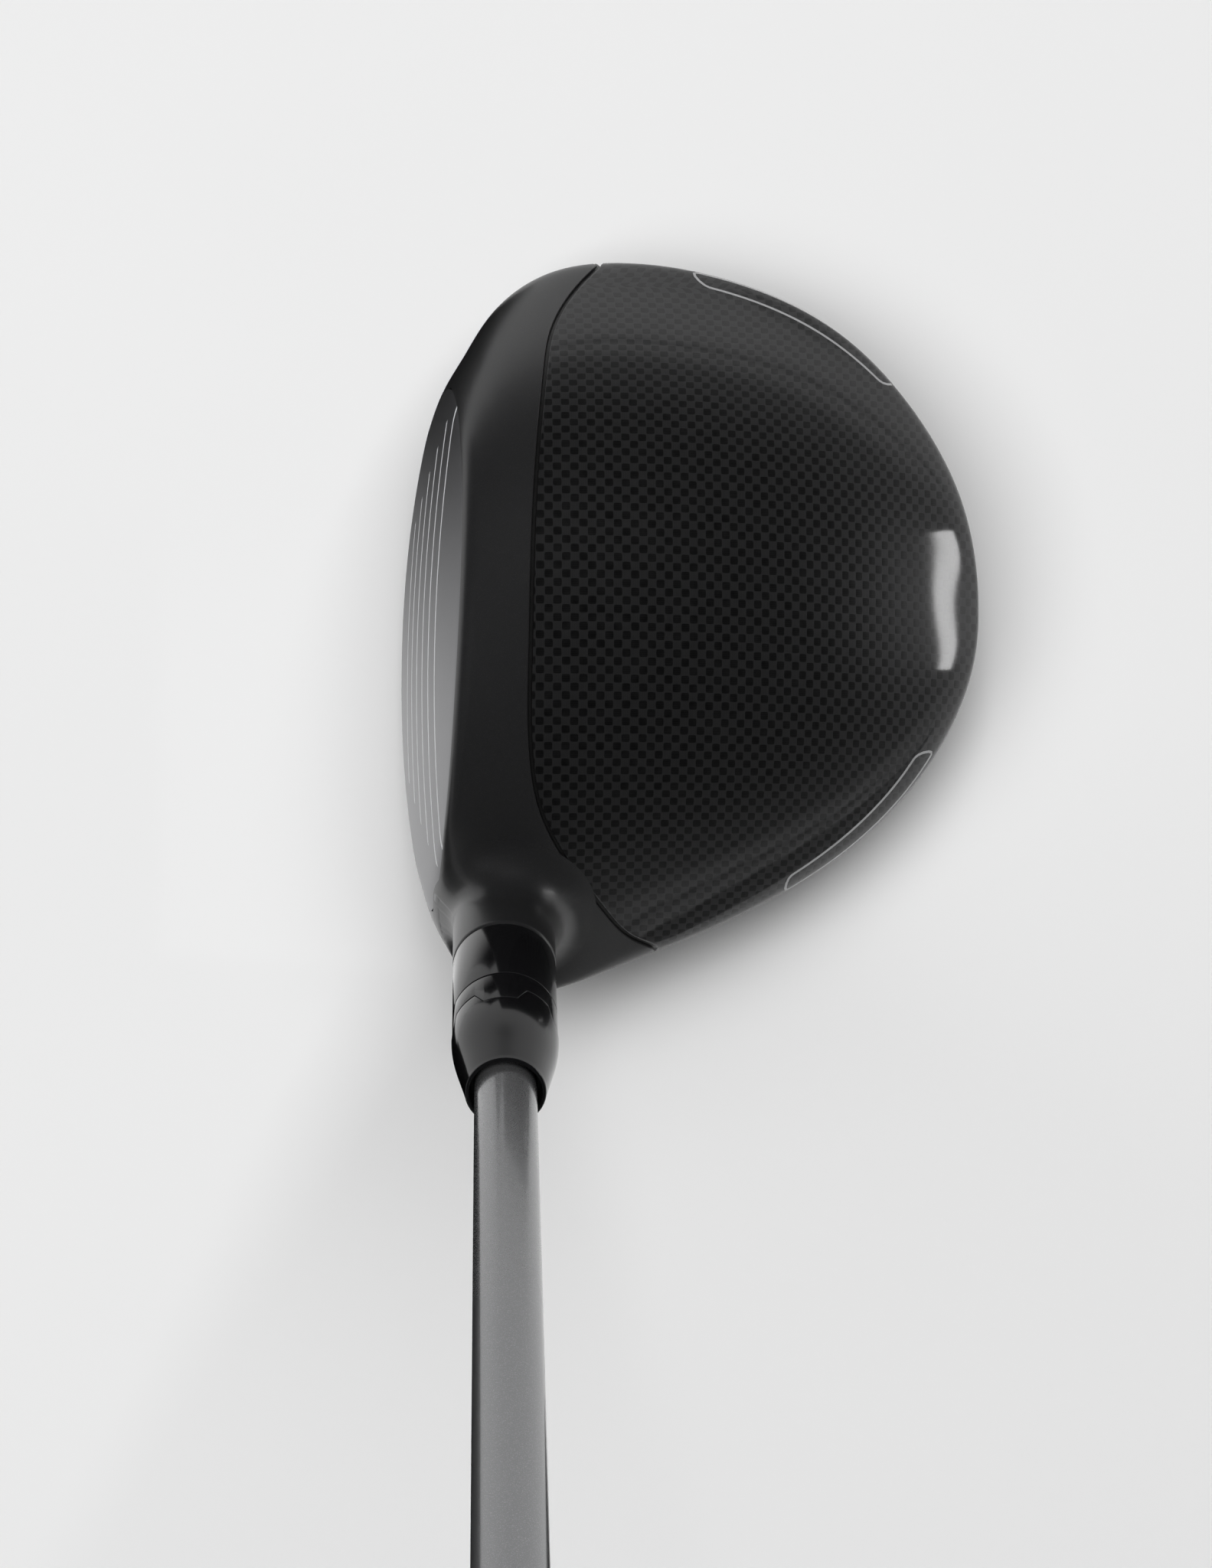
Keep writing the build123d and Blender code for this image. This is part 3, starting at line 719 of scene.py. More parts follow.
# Head body.
bodyForm = {
    "pocketInset": 1.03, "edgeInset": 0.16, "underRows": 24, "bandRows": 70, "innerRows": 8,
    "soleRows": 150, "faceRows": 110, "faceInset": 1.5, "plateGap": 0.1,
    "leastFace": 0.3, "leastPlate": 1.5,   # columns with less face than this have no face, no plate
    "sinkLength": 6,             # the plate's bed is at full depth where the face is longer than this
    "belowSeam": 1.0, "edgeShare": 0.3,
}
seamOuter = seamLengths(0)
seamInner = seamLengths(seamForm["grooveWidth"])
columnEnd = columnRun[:, -1]
hasFace = columnKnees[:, 1] - columnKnees[:, 0] > bodyForm["leastFace"]
faceAngles = columnAngles[hasFace]
plainKnee = np.interp(columnAngles, faceAngles, columnKnees[hasFace, :2].mean(axis=1), period=2 * math.pi)
plainKnee = np.maximum(plainKnee, seamOuter + bodyForm["belowSeam"])
topKnee = np.where(hasFace, columnKnees[:, 0], plainKnee)
lowKnee = np.where(hasFace, columnKnees[:, 1], plainKnee)


def stack(*parts):
    return np.concatenate(parts, axis=1)


def single(lengths, inset=0.0):
    return onHead(lengths[:, None], inset)


def headRows():
    edge = bodyForm["edgeInset"]
    slight = edge * bodyForm["edgeShare"]
    pocket = bodyForm["pocketInset"]
    hidden = between(topKnee, lowKnee, bodyForm["innerRows"])
    grow = np.minimum(1, (lowKnee - topKnee) / bodyForm["sinkLength"])[:, None]
    inner = onHead(hidden)
    inner = inner - (inner - onHead(hidden, bodyForm["faceInset"])) * grow[..., None]
    return stack(
        onHead(between(np.zeros_like(seamOuter), seamOuter, bodyForm["underRows"]), pocket),
        single(seamOuter, edge), single(seamOuter + slight, slight),
        onHead(between(seamOuter + edge, topKnee, bodyForm["bandRows"])),
        inner,
        onHead(between(lowKnee, columnEnd, bodyForm["soleRows"])),
    )


rowsOfHead = headRows()
bodyFaces = gridFaces(rowsOfHead.shape[0], rowsOfHead.shape[1])
headBody = newPiece("headBody", rowsOfHead.reshape(-1, 3), bodyFaces, "head", "satin_paint",
                    paints["satin_paint"], ("head_body",))
print("head body ready", len(headBody.data.polygons))
sharedTree = BVHTree.FromPolygons(
    [Vector(p) for p in columnPoints[::3, ::2].reshape(-1, 3)],
    gridFaces(len(columnPoints[::3]), columnPoints[:, ::2].shape[1]))

portForm = {
    "pocketRadius": 8.58, "pocketDepth": 5.5, "holeRadius": 2.6, "holeDepth": 13.3, "mouth": 0.35,
    "out": 8,                    # how far the cutting shape stands out of the sole
    "front": ((-18.91, 6.96, 0.947), (-0.112437, 0.069191, -0.991247)),
    "rear": ((36.6, 0.0, 5.085), (0.326423, -0.018735, -0.945038)),
}
hoselForm = {
    "radius": 7.75, "bore": 5.87, "inside": 7.2, "boreDepth": 36.0, "rimRound": 0.9, "columns": 240,
    "flare": 6.5, "leastFlare": 0.5, "rise": 1.15, "pull": 0.62, "raised": 0.02,
    "boltHole": 2.8, "webBottom": 38.5, "portRadius": 5.2,
    "keyHalf": 1.2, "keyHeight": 1.6, "keyOuter": 6.47, "keyTurn": 45.0, "keyGap": 0.07, "keySpare": 0.06,
    "toolSpare": 0.6, "toolTop": 5, "toolFoot": 70,
    "castFrom": 15, "leastFacing": 0.2, "offFace": 0.25, "flareStep": 0.1, "flareBlend": 8,
    "straight": 0.4, "rimSteps": 8, "bendSteps": 32, "footDepth": 0.5, "rootDepth": 2.5,
}


def portFrame(place):
    origin, way = portForm[place]
    way = Vector(way)
    across = way.cross(Vector((0, 1, 0))).normalized()
    return frameOf(origin, across, way)


def portTool(place):
    depth, radius, mouth = portForm["pocketDepth"], portForm["pocketRadius"], portForm["mouth"]
    profile = [(0, -portForm["holeDepth"]), (portForm["holeRadius"], -portForm["holeDepth"]),
               (portForm["holeRadius"], -depth), (radius, -depth), (radius, -mouth),
               (radius + mouth, 0.1), (radius + mouth, portForm["out"]), (0, portForm["out"])]
    return lathe(profile, 128, portFrame(place), closed=False)


def boreTool():
    wide = hoselForm["bore"] + hoselForm["toolSpare"]
    port, hole, foot, web, floor, top = (hoselForm[k] for k in (
        "portRadius", "boltHole", "toolFoot", "webBottom", "boreDepth", "toolTop"))
    profile = [(0, -foot), (port, -foot), (port, -web), (hole, -web), (hole, -floor), (wide, -floor),
               (wide, top), (0, top)]
    return lathe(profile, 96, shaftFrame, closed=False)


cutPiece(headBody, *joined([portTool("front"), portTool("rear"), boreTool()]))
print("head ports cut", len(headBody.data.polygons))


sliver = 0.01                    # keeps two points of a profile apart at an upright step


def keyAt(angle, spare=0.0):
    # 1 inside one of the four keys round a ring, 0 outside.
    away = (math.degrees(angle) - hoselForm["keyTurn"] + 45) % 90 - 45
    return 1.0 if abs(math.radians(away)) * hoselForm["keyOuter"] < hoselForm["keyHalf"] + spare else 0.0


def neckShape():
    radius, count = hoselForm["radius"], hoselForm["columns"]
    angles = np.arange(count) * 2 * math.pi / count
    ways = [Vector(math.cos(a) * shaftFrame[0][0] + math.sin(a) * shaftFrame[0][1]) for a in angles]

    def strike(way, distance):
        return sharedTree.ray_cast(hoselRim + way * distance + shaftWay * hoselForm["castFrom"], -shaftWay)

    def usable(way, distance):
        place, normal = strike(way, distance)[:2]
        if place is None or abs(normal.dot(shaftWay)) <= hoselForm["leastFacing"]:
            return False
        return (place - Vector(ballMiddle)).length < headForm["ballRadius"] - hoselForm["offFace"]

    flare = []
    for way in ways:
        size = hoselForm["flare"]
        while size > hoselForm["leastFlare"] and not usable(way, radius + size):
            size -= hoselForm["flareStep"]
        flare.append(size)
    shifts = range(-hoselForm["flareBlend"], hoselForm["flareBlend"] + 1)
    flare = np.min([np.roll(np.array(flare), k) for k in shifts], axis=0)
    flare = np.mean([np.roll(flare, k) for k in shifts], axis=0)
    grid = []
    for angle, way, size in zip(angles, ways, flare):
        touch, _ = strike(way, radius)[:2]
        height = (touch - hoselRim).dot(shaftWay)
        rise = size * hoselForm["rise"]
        highest = -hoselForm["rimRound"] - hoselForm["straight"]
        start = hoselRim + way * radius + shaftWay * min(height + rise, highest)
        end, normal = strike(way, radius + size)[:2]
        if normal.dot(shaftWay) < 0:
            normal = -normal
        end = end + normal * hoselForm["raised"]
        level = (way - normal * way.dot(normal)).normalized()
        pull = hoselForm["pull"]
        knots = [start, start - shaftWay * rise * pull, end - level * size * pull, end]
        line = []
        slot = -(hoselForm["keyHeight"] + hoselForm["keySpare"]) * keyAt(angle, hoselForm["keyGap"])
        key = hoselForm["keyOuter"] + hoselForm["keyGap"]
        line += [(hoselForm["bore"], -hoselForm["boreDepth"]), (hoselForm["bore"], slot), (key, slot),
                 (key + sliver, 0)]
        bend = hoselForm["rimRound"]
        for k in range(hoselForm["rimSteps"] + 1):
            turn = math.pi / 2 * k / hoselForm["rimSteps"]
            line.append((radius - bend + bend * math.sin(turn), -bend + bend * math.cos(turn)))
        column = [hoselRim + way * r + shaftWay * z for r, z in line]
        for k in range(hoselForm["bendSteps"] + 1):
            t = k / hoselForm["bendSteps"]
            column.append(knots[0] * (1 - t) ** 3 + knots[1] * 3 * t * (1 - t) ** 2
                          + knots[2] * 3 * t ** 2 * (1 - t) + knots[3] * t ** 3)
        column.append(end - normal * hoselForm["footDepth"])
        column.append(hoselRim + way * hoselForm["inside"] + shaftWay * (height - hoselForm["rootDepth"]))
        column.append(hoselRim + way * hoselForm["inside"] - shaftWay * hoselForm["boreDepth"])
        grid.append([tuple(p) for p in column])
    grid = np.array(grid)
    return grid.reshape(-1, 3), gridFaces(count, grid.shape[1], True, True)


def addShape(piece, vertices, faces, sharpAngle=40):
    # Joins another closed shape to the piece's own mesh.
    extra = builtMesh("extra", vertices, faces)
    work = bmesh.new()
    work.from_mesh(piece.data)
    work.from_mesh(extra)
    bpy.data.meshes.remove(extra)
    work.to_mesh(piece.data)
    work.free()
    smoothMesh(piece.data, sharpAngle)


addShape(headBody, *neckShape())
print("hosel ready")


# Face plate and its score lines.
def facePlate():
    wide = np.where(lowKnee - topKnee > bodyForm["leastPlate"])[0]
    rows = bodyForm["faceRows"]
    front = onHead(between(topKnee, lowKnee, rows))[wide]
    grow = np.minimum(1, (lowKnee - topKnee) / bodyForm["sinkLength"])[wide][:, None, None]
    back = onHead(between(lowKnee, topKnee, rows // 3))[wide]
    sunk = onHead(between(lowKnee, topKnee, rows // 3), bodyForm["faceInset"] - bodyForm["plateGap"])[wide]
    grid = np.concatenate([front, back + (sunk - back) * grow], axis=1)
    columns, total = grid.shape[:2]
    faces = gridFaces(columns, total, False, True)
    faces.append(tuple(range(total)))
    faces.append(tuple((columns - 1) * total + i for i in reversed(range(total))))
    return grid.reshape(-1, 3), faces


def scoreTool(index):
    share = index / (scoreForm["count"] - 1)
    half = scoreForm["halfLengths"][0] * (1 - share) + scoreForm["halfLengths"][1] * share
    height = scoreForm["first"] + index * scoreForm["pitch"]
    points = []
    for y in np.linspace(scoreForm["middle"] - half, scoreForm["middle"] + half, scoreForm["stations"]):
        above = -scoreForm["toolHeight"]
        for rise, depth in ((-0.5, 1), (0.5, 1), (0.5, above), (-0.5, above)):
            z = height + rise * scoreForm["width"]
            size = headForm["ballRadius"] - depth * scoreForm["depth"]
            x = ballMiddle[0] - math.sqrt(size ** 2 - (y - ballMiddle[1]) ** 2 - (z - ballMiddle[2]) ** 2)
            points.append((x, y, z))
    faces = gridFaces(scoreForm["stations"], 4, False, True)
    last = len(points) - 4
    return points, faces + [(0, 1, 2, 3), (last + 3, last + 2, last + 1, last)]


faceInsert = newPiece("faceInsert", *facePlate(), "head", "face_metal", paints["face_metal"],
                      ("face_insert",))
cutPiece(faceInsert, *joined([scoreTool(i) for i in range(scoreForm["count"])]), 30)
print("face ready", len(faceInsert.data.polygons))


# Crown panel.
panelForm = {
    "edge": 0.14, "edgeShare": 0.25, "topRows": 150, "backRows": 40, "runSteps": 28,
    "beadGap": 0.02, "beadSag": 0.05, "beadDepth": 1.0,
}


def weaveCoordinates(points):
    # Distances over the curved crown from its top, along x and along y.
    x, y, z = points[:, 0], points[:, 1], points[:, 2]
    apexX, apexY = headForm["crownApex"]
    steps = np.sin(np.linspace(0, math.pi / 2, panelForm["runSteps"]))

    def run(alongX):
        total = np.zeros_like(x)
        here = (apexX + 0 * x, y) if alongX else (x, apexY + 0 * y)
        lastZ = crownAt(*here)
        last = here
        for s in steps[1:]:
            here = (apexX + (x - apexX) * s, y) if alongX else (x, apexY + (y - apexY) * s)
            nowZ = crownAt(*here)
            step = (here[0] - last[0], here[1] - last[1], nowZ - lastZ)
            total += np.sqrt(sum(part ** 2 for part in step))
            last, lastZ = here, nowZ
        return total

    under = np.clip(headForm["skirtHeight"] - z, 0, None)
    turn = np.arctan2(y - headForm["middle"][1], x - headForm["middle"][0])
    u = np.sign(x - apexX) * run(True) + under * np.cos(turn)
    v = np.sign(y - apexY) * run(False) + under * np.sin(turn)
    return np.stack([u, v, np.zeros_like(u)], 1)


def crownPanelShape():
    edge, top = panelForm["edge"], np.zeros_like(seamInner)
    slight = edge * panelForm["edgeShare"]
    grid = stack(
        onHead(between(top, seamInner - edge, panelForm["topRows"])),
        single(seamInner - slight, slight), single(seamInner, edge),
        onHead(between(seamInner, top, panelForm["backRows"]), seamForm["panelThickness"]),
    )
    return grid.reshape(-1, 3), gridFaces(grid.shape[0], grid.shape[1])


crownPanel = newPiece("crownPanel", *crownPanelShape(), "head", "woven_carbon", paints["woven_carbon"],
                      ("crown_panel",), 50)
panelPoints = np.array([v.co for v in crownPanel.data.vertices]) / mm
weaveStore = crownPanel.data.attributes.new("weave", "FLOAT_VECTOR", "POINT")
weaveStore.data.foreach_set("vector", weaveCoordinates(panelPoints).ravel())


def bondShape():
    inner, outer = seamInner + panelForm["beadGap"], seamOuter - panelForm["beadGap"]
    middle, side, foot = seamForm["grooveDepth"], panelForm["beadSag"], panelForm["beadDepth"]
    grid = stack(single(inner, middle + side), single((inner + outer) / 2, middle),
                 single(outer, middle + side), single(outer, foot), single(inner, foot))
    return grid.reshape(-1, 3), gridFaces(grid.shape[0], grid.shape[1], True, True)


newPiece("crownBondLine", *bondShape(), "head", "black_epoxy", paints["black_epoxy"], ("crown_bond_line",))


# Plain outline stripes near the back of the crown.
stripeForm = {
    "width": 0.5, "raised": 0.03, "sunk": 0.15, "steps": 60, "passes": 3,
    "innerFrom": 0.06, "innerTo": 0.96,     # where the inner long line runs, as shares of the outer one
    "section": ((-0.5, False), (-0.42, True), (0.42, True), (0.5, False)),
    # angle from, angle to in degrees, and how far the two long lines lie in from the panel's edge
    "loops": {"toeStripe": (86, 46, (3.0, 1.8), (6.0, 4.6)), "heelStripe": (-24, -66, (4.2, 2.6), (7.5, 6.0))},
}


def headAt(angle, length, inset):
    step = 2 * math.pi / headForm["columns"]
    place = (angle / step) % headForm["columns"]
    low = int(place)
    share = place - low
    ends = []
    for j in (low % headForm["columns"], (low + 1) % headForm["columns"]):
        point = np.array([np.interp(length, columnRun[j], columnPoints[j, :, c]) for c in range(3)])
        normal = np.array([np.interp(length, columnRun[j], columnNormal[j, :, c]) for c in range(3)])
        ends.append(point - inset * normal)
    return ends[0] * (1 - share) + ends[1] * share


def edgeAt(angle):
    return np.interp(math.degrees(angle) % 360, np.degrees(columnAngles), seamInner, period=360)


def stripeShape(loop):
    start, end, outer, inner = loop
    first, last = stripeForm["innerFrom"], stripeForm["innerTo"]
    corners = []
    for share in np.linspace(0, 1, stripeForm["steps"]):
        corners.append((start + (end - start) * share, outer[0] * (1 - share) + outer[1] * share))
    for share in np.linspace(1, 0, stripeForm["steps"]):
        turn = start + (end - start) * (first + (last - first) * share)
        corners.append((turn, inner[0] * (1 - share) + inner[1] * share))
    middle = np.array([headAt(math.radians(a), edgeAt(math.radians(a)) - inset, 0)
                       for a, inset in corners])
    for _ in range(stripeForm["passes"]):
        middle = (np.roll(middle, 1, axis=0) + 2 * middle + np.roll(middle, -1, axis=0)) / 4
    points = []
    for i in range(len(middle)):
        way = middle[(i + 1) % len(middle)] - middle[i - 1]
        place, normal = sharedTree.find_nearest(Vector(middle[i]))[:2]
        normal = np.array(normal) * (1 if normal.z > 0 else -1)
        side = np.cross(way, normal)
        side /= np.linalg.norm(side)
        base = np.array(place)
        for across, up in stripeForm["section"]:
            lift = stripeForm["raised"] if up else -stripeForm["sunk"]
            points.append(base + side * across * stripeForm["width"] + normal * lift)
    return points, gridFaces(len(middle), 4, True, True)


for stripeName, loop in stripeForm["loops"].items():
    newPiece(stripeName, *stripeShape(loop), "head", "satin_paint", paints["line_paint"])
print("crown ready")


# Adapter rings, ferrule, shaft.
adapterForm = {
    "bore": 5.87, "radius": 7.7, "lowerTop": 14.0, "upperTop": 18.0, "gap": 0.06, "edge": 0.22,
    "tangHeight": 2.7, "tangHalf": (3.8, 2.45), "tangTurn": 5.5, "segments": 480,
    "ferruleTop": 34.0, "ferruleEnd": 5.85, "recess": 2.4, "recessRadius": 5.2,
    "edgeSteps": 4, "shaftGap": 0.12, "taperGap": 0.1,
    "sideRows": 40, "sideEnd": 0.7, "lip": 0.4, "lipSteps": 8,
    "ferruleLine": [(18.0, 7.7), (20.6, 7.8), (24.2, 7.58), (29.0, 6.72), (33.3, 5.88)],
}
shaftForm = {"tip": 4.45, "butt": 7.62, "foot": -16.94, "taperStart": 24.0, "top": 1064.975,
             "bores": (2.3, 6.5), "rows": 60, "segments": 160}


def tangAt(angle):
    away = (math.degrees(angle) - adapterForm["tangTurn"] + 45) % 90 - 45
    across = adapterForm["radius"] * math.sin(abs(math.radians(away)))
    root, tip = adapterForm["tangHalf"]
    return adapterForm["tangHeight"] * min(1.0, max(0.0, (root - across) / (root - tip)))


def ringEdge(radius, height, edge, up):
    # A small rounded edge between a ring's side and its end.
    points = []
    for k in range(adapterForm["edgeSteps"] + 1):
        turn = math.pi / 2 * k / adapterForm["edgeSteps"]
        points.append((radius - edge + edge * math.cos(turn), height - up * (edge - edge * math.sin(turn))))
    return points if up > 0 else points[::-1]


def lowerRing(angle):
    bore, radius, gap, top, edge = (adapterForm[k] for k in ("bore", "radius", "gap", "lowerTop", "edge"))
    keyFoot = gap - hoselForm["keyHeight"] * keyAt(angle)
    slotFloor = top - (hoselForm["keyHeight"] + hoselForm["keySpare"]) * keyAt(angle, hoselForm["keyGap"])
    key, slot = hoselForm["keyOuter"], hoselForm["keyOuter"] + hoselForm["keyGap"]
    return [(bore, keyFoot), (key, keyFoot), (key + sliver, gap), *ringEdge(radius, gap, edge, -1),
            *ringEdge(radius, top, edge, 1), (slot + sliver, top), (slot, slotFloor), (bore, slotFloor)]


def upperRing(angle):
    bore, radius, gap, edge = (adapterForm[k] for k in ("bore", "radius", "gap", "edge"))
    foot = adapterForm["lowerTop"] + gap
    keyFoot = foot - hoselForm["keyHeight"] * keyAt(angle)
    key = hoselForm["keyOuter"]
    top = adapterForm["upperTop"] + tangAt(angle)
    return [(bore, keyFoot), (key, keyFoot), (key + sliver, foot), *ringEdge(radius, foot, edge, -1),
            *ringEdge(radius, top, edge, 1), (bore, top)]


ferruleCurve = smoothCurve(adapterForm["ferruleLine"], 80)


def ferruleProfile(angle):
    foot = adapterForm["upperTop"] + adapterForm["gap"] + tangAt(angle)
    top, end, edge, lip = (adapterForm[k] for k in ("ferruleTop", "ferruleEnd", "edge", "lip"))
    tube = shaftForm["tip"] + adapterForm["shaftGap"]
    taper = shaftForm["taperStart"] + adapterForm["taperGap"]
    recess, floor = adapterForm["recessRadius"], top - adapterForm["recess"]

    def side(z):
        return float(np.interp(z, ferruleCurve[:, 0], ferruleCurve[:, 1]))
    line = [(adapterForm["bore"], foot), *ringEdge(side(foot), foot, edge, -1)]
    for z in np.linspace(foot + edge * 1.5, top - adapterForm["sideEnd"], adapterForm["sideRows"]):
        line.append((side(z), z))
    for k in range(adapterForm["lipSteps"] + 1):
        turn = math.pi * k / adapterForm["lipSteps"]
        out = (end + recess) / 2 + (end - recess) / 2 * math.cos(turn)
        line.append((out, top - lip + lip * math.sin(turn)))
    return line + [(recess, floor), (tube, floor), (tube, taper), (adapterForm["bore"], taper)]


def shaftRadius(height):
    share = max(0.0, height - shaftForm["taperStart"]) / (shaftForm["top"] - shaftForm["taperStart"])
    return shaftForm["tip"] + share * (shaftForm["butt"] - shaftForm["tip"])


def shaftProfile():
    heights = [shaftForm["foot"], *np.linspace(shaftForm["taperStart"], shaftForm["top"], shaftForm["rows"])]
    inner, outer = shaftForm["bores"]
    line = [(shaftRadius(z), z) for z in heights]
    return line + [(outer, shaftForm["top"]), (inner, shaftForm["taperStart"]), (inner, shaftForm["foot"])]


for ringName, profile, bodyName, nodeName in (("lowerRing", lowerRing, "lower_ring", "lower_cog"),
                                              ("upperRing", upperRing, "upper_ring", "upper_cog"),
                                              ("ferruleSleeve", ferruleProfile, "club", "ferrule")):
    newPiece(ringName, *lathe(profile, adapterForm["segments"], shaftFrame), bodyName, "adapter_gloss",
             paints["adapter_gloss"], (nodeName,))
newPiece("shaftTube", *lathe(shaftProfile(), shaftForm["segments"], shaftFrame), "club", "shaft_paint",
         paints["shaft_paint"], ("shaft",))
print("adapter and shaft ready")


# Grip and its cap.
gripForm = {
    "mouth": 801.475, "tape": 0.25, "segments": 200, "rowPitch": 1.0, "groove": 0.32,
    "lines": 12, "slant": 0.34, "bandMouth": 16.0, "bandButt": 12.0, "fade": 3, "grooveShare": 0.28,
    "walls": [(0.0, 1.0), (1.0, 1.5), (233.5, 4.5), (257.5, 5.4), (263.5, 5.4)],
}
capForm = {
    "plugRadius": 5.85, "plugDepth": 8.0, "vent": 1.6, "thick": 3.5, "side": 1.0, "dome": 5.0,
    "domeSteps": 16, "bevel": (0.15, 0.12), "groove": (4.4, 4.2, 3.6, 3.4), "grooveDepth": 0.25,
}


def gripLine(angle):
    top, mouth = shaftForm["top"], gripForm["mouth"]
    places, walls = zip(*gripForm["walls"])
    line = []
    for z in np.arange(0, top - mouth, gripForm["rowPitch"]):
        wall = np.interp(z, places, walls)
        inside = min(1.0, max(0.0, (z - gripForm["bandMouth"]) / gripForm["fade"]),
                     max(0.0, (top - mouth - gripForm["bandButt"] - z) / gripForm["fade"]))
        turn = angle * gripForm["lines"] / 2
        cross = min(abs(math.sin(turn + side * z * gripForm["slant"])) for side in (1, -1))
        sunk = gripForm["groove"] * max(0.0, 1 - cross / gripForm["grooveShare"]) * inside
        line.append((shaftRadius(mouth + z) + gripForm["tape"] + wall - sunk, mouth + z))
    line.append((shaftRadius(top) + gripForm["tape"] + walls[-1], top))
    line.append((shaftRadius(top) + gripForm["tape"], top))
    line.append((shaftRadius(mouth) + gripForm["tape"], mouth))
    return line


def capLine():
    top, radius = shaftForm["top"], shaftForm["butt"] + gripForm["tape"] + gripForm["walls"][-1][1]
    end, floor = top + capForm["thick"], top + capForm["thick"] - capForm["grooveDepth"]
    vent, plug, foot = capForm["vent"], capForm["plugRadius"], top - capForm["plugDepth"]
    inwards, upwards = capForm["bevel"]
    line = [(vent, foot), (plug, foot), (plug, top), (radius - inwards, top), (radius, top + upwards)]
    wide, high = capForm["dome"], capForm["thick"] - capForm["side"]
    for k in range(capForm["domeSteps"] + 1):
        turn = math.pi / 2 * k / capForm["domeSteps"]
        line.append((radius - wide + wide * math.cos(turn), top + capForm["side"] + high * math.sin(turn)))
    line += zip(capForm["groove"], (end, floor, floor, end))
    return line + [(vent, end)]


newPiece("gripSleeve", *lathe(gripLine, gripForm["segments"], shaftFrame), "club", "grip_rubber",
         paints["grip_rubber"], ("grip",), 60)
newPiece("gripEnd", *lathe(capLine(), gripForm["segments"], shaftFrame), "club", "grip_rubber",
         paints["grip_rubber"], ("grip_cap",))
print("grip ready")


# Sole weights.
weightForm = {
    "profile": [(2.57, -5.5), (8.3, -5.5), (8.5, -5.3), (8.5, -0.8), (8.42, -0.6), (8.2, -0.5), (7.1, -0.5),
                (6.9, -0.66), (6.6, -0.66), (6.4, -0.5), (4.7, -0.5), (4.4, -0.6), (4.27, -0.9),
                (4.27, -3.3), (2.57, -3.3)],
    "segments": 160,
}
for portName in ("front", "rear"):
    newPiece(portName + "Disc", *lathe(weightForm["profile"], weightForm["segments"], portFrame(portName)),
             portName + "_weight", "weight_metal", paints["weight_metal"], (portName + "_weight",), 25)
print("weights ready")


# Floor, light and camera.
studio = {
    "camera": (-0.0241, -0.0548, 0.615), "lens": 87.6, "sensor": 36,
    "tilt": (0.033815, 0.050572),   # how far the camera leans from straight down, as slopes along x and y
    "floorReach": 6.0,
    # how bright the surroundings are, from straight down to straight up
    "surroundings": [(0.0, 0.85), (0.49, 0.85), (0.54, 0.14), (0.64, 0.03), (1.0, 0.012)],
    "backdrop": 0.86,            # what the camera itself sees beyond the floor
    "lamps": [
        # place, target, size, watts, seen in reflections
        ((0.3, 0.9, 1.9), (0, 0, 0), (1.6, 1.2), 28, False),
        ((-0.9, -0.3, 1.8), (0, 0, 0), (1.2, 1.6), 24, False),
        ((1.3, 0.14, 0.13), (0, 0, 0.03), (0.5, 0.045), 1.1, True),
    ],
    # cards that only show in reflections: corners, then where along y they turn from dark to light
    "cards": [
        ([(-0.075, -0.055, 0.0012), (-0.025, -0.055, 0.0012), (-0.025, 0.09, 0.0012),
          (-0.075, 0.09, 0.0012)],
         (42, -22), 0.95),
        ([(-0.35, -0.35, 0.001), (-0.012, -0.35, 0.001), (-0.012, -0.056, 0.001),
          (-0.35, -0.03, 0.001)],
         (900, 800), 0.0),
        ([(0.03, -0.35, 0.001), (0.35, -0.35, 0.001), (0.35, -0.11, 0.001), (0.03, -0.11, 0.001)],
         (900, 800), 0.0),
    ],
}


def floorTone(place):
    mottle = place.noise(0.01, 2.0)
    return {
        "Base Color": mottle.blend((0.86, 0.86, 0.86), (0.88, 0.88, 0.88)),
        "Roughness": 0.75 + mottle * 0.05,
    }


def cardFinish(dark, light, glow):
    def build(place):
        tone = 1 - place.axis(1).between(light, dark)
        return {"Emission Color": (tone * glow).blend((0, 0, 0), (1, 1, 1)), "Roughness": 0.9 + tone * 0.05}
    black = {"Base Color": (0, 0, 0, 1), "Emission Strength": 1.0, "Specular IOR Level": 0.0}
    return finish("card", black, build)


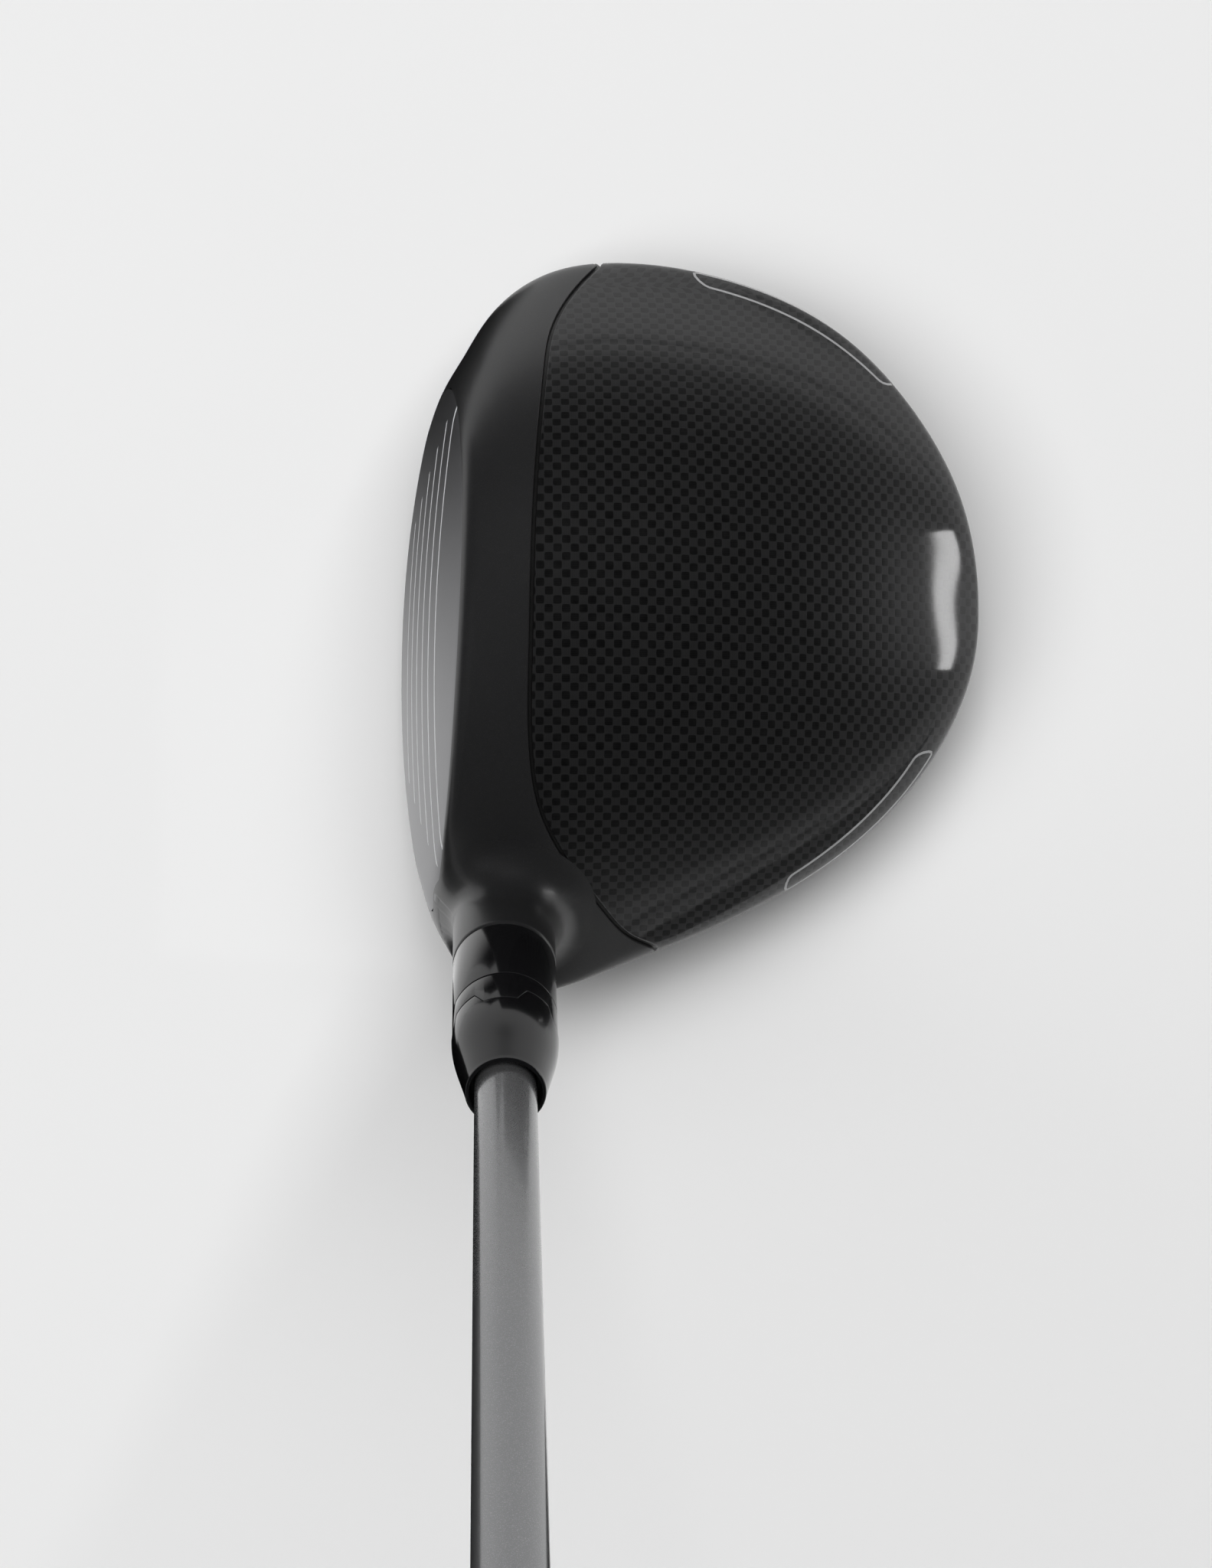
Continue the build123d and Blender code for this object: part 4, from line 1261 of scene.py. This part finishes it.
def buildStudio():
    mesh = bpy.data.meshes.new("floor")
    reach = studio["floorReach"]
    mesh.from_pydata([(-reach, -reach, 0), (reach, -reach, 0), (reach, reach, 0), (-reach, reach, 0)],
                     [], [(0, 1, 2, 3)])
    floor = bpy.data.objects.new("floor", mesh)
    bpy.context.scene.collection.objects.link(floor)
    mesh.materials.append(finish("floor", {}, floorTone))
    for corners, (dark, light), glow in studio["cards"]:
        card = bpy.data.meshes.new("card")
        card.from_pydata(corners, [], [(0, 1, 2, 3)])
        card.materials.append(cardFinish(dark, light, glow))
        flag = bpy.data.objects.new("card", card)
        bpy.context.scene.collection.objects.link(flag)
        flag.visible_camera = flag.visible_diffuse = flag.visible_shadow = False
    for place, target, size, watts, mirrored in studio["lamps"]:
        lamp = bpy.data.lights.new("softbox", "AREA")
        lamp.shape = "RECTANGLE"
        lamp.size, lamp.size_y = size
        lamp.energy = watts
        holder = bpy.data.objects.new("softbox", lamp)
        bpy.context.scene.collection.objects.link(holder)
        holder.location = place
        holder.rotation_mode = "QUATERNION"
        holder.rotation_quaternion = (Vector(place) - Vector(target)).to_track_quat("Z", "Y")
        holder.visible_camera = False
        holder.visible_glossy = mirrored
    world = bpy.data.worlds.new("studio")
    bpy.context.scene.world = world
    world.use_nodes = True
    world.node_tree.nodes.clear()
    sky = Lead(world.node_tree)
    height = sky.node("TexCoord").axis(2) * 0.5 + 0.5
    stops = [(place, (grey,) * 3) for place, grey in studio["surroundings"]]
    tone = height.node("ValToRGB", {"stops": stops}, {0: height})
    seen = sky.node("LightPath")
    pale = (studio["backdrop"],) * 3
    glow = tone.node("Background", {}, {"Color": seen.blend(tone, pale)})
    glow.node("OutputWorld", {}, {"Surface": glow})
    bpy.context.scene.view_settings.view_transform = "Standard"
    camera = bpy.data.objects.new("camera", bpy.data.cameras.new("camera"))
    bpy.context.scene.collection.objects.link(camera)
    up = Vector((*studio["tilt"], 1)).normalized()
    across = up.cross(Vector((1, 0, 0))).normalized()
    right = across.cross(up)
    camera.rotation_mode = "QUATERNION"
    camera.rotation_quaternion = Matrix((right, across, up)).to_quaternion()
    camera.location = studio["camera"]
    camera.data.lens = studio["lens"]
    camera.data.sensor_width = studio["sensor"]
    camera.data.clip_start = 0.01
    bpy.context.scene.camera = camera


buildStudio()
print("studio ready")
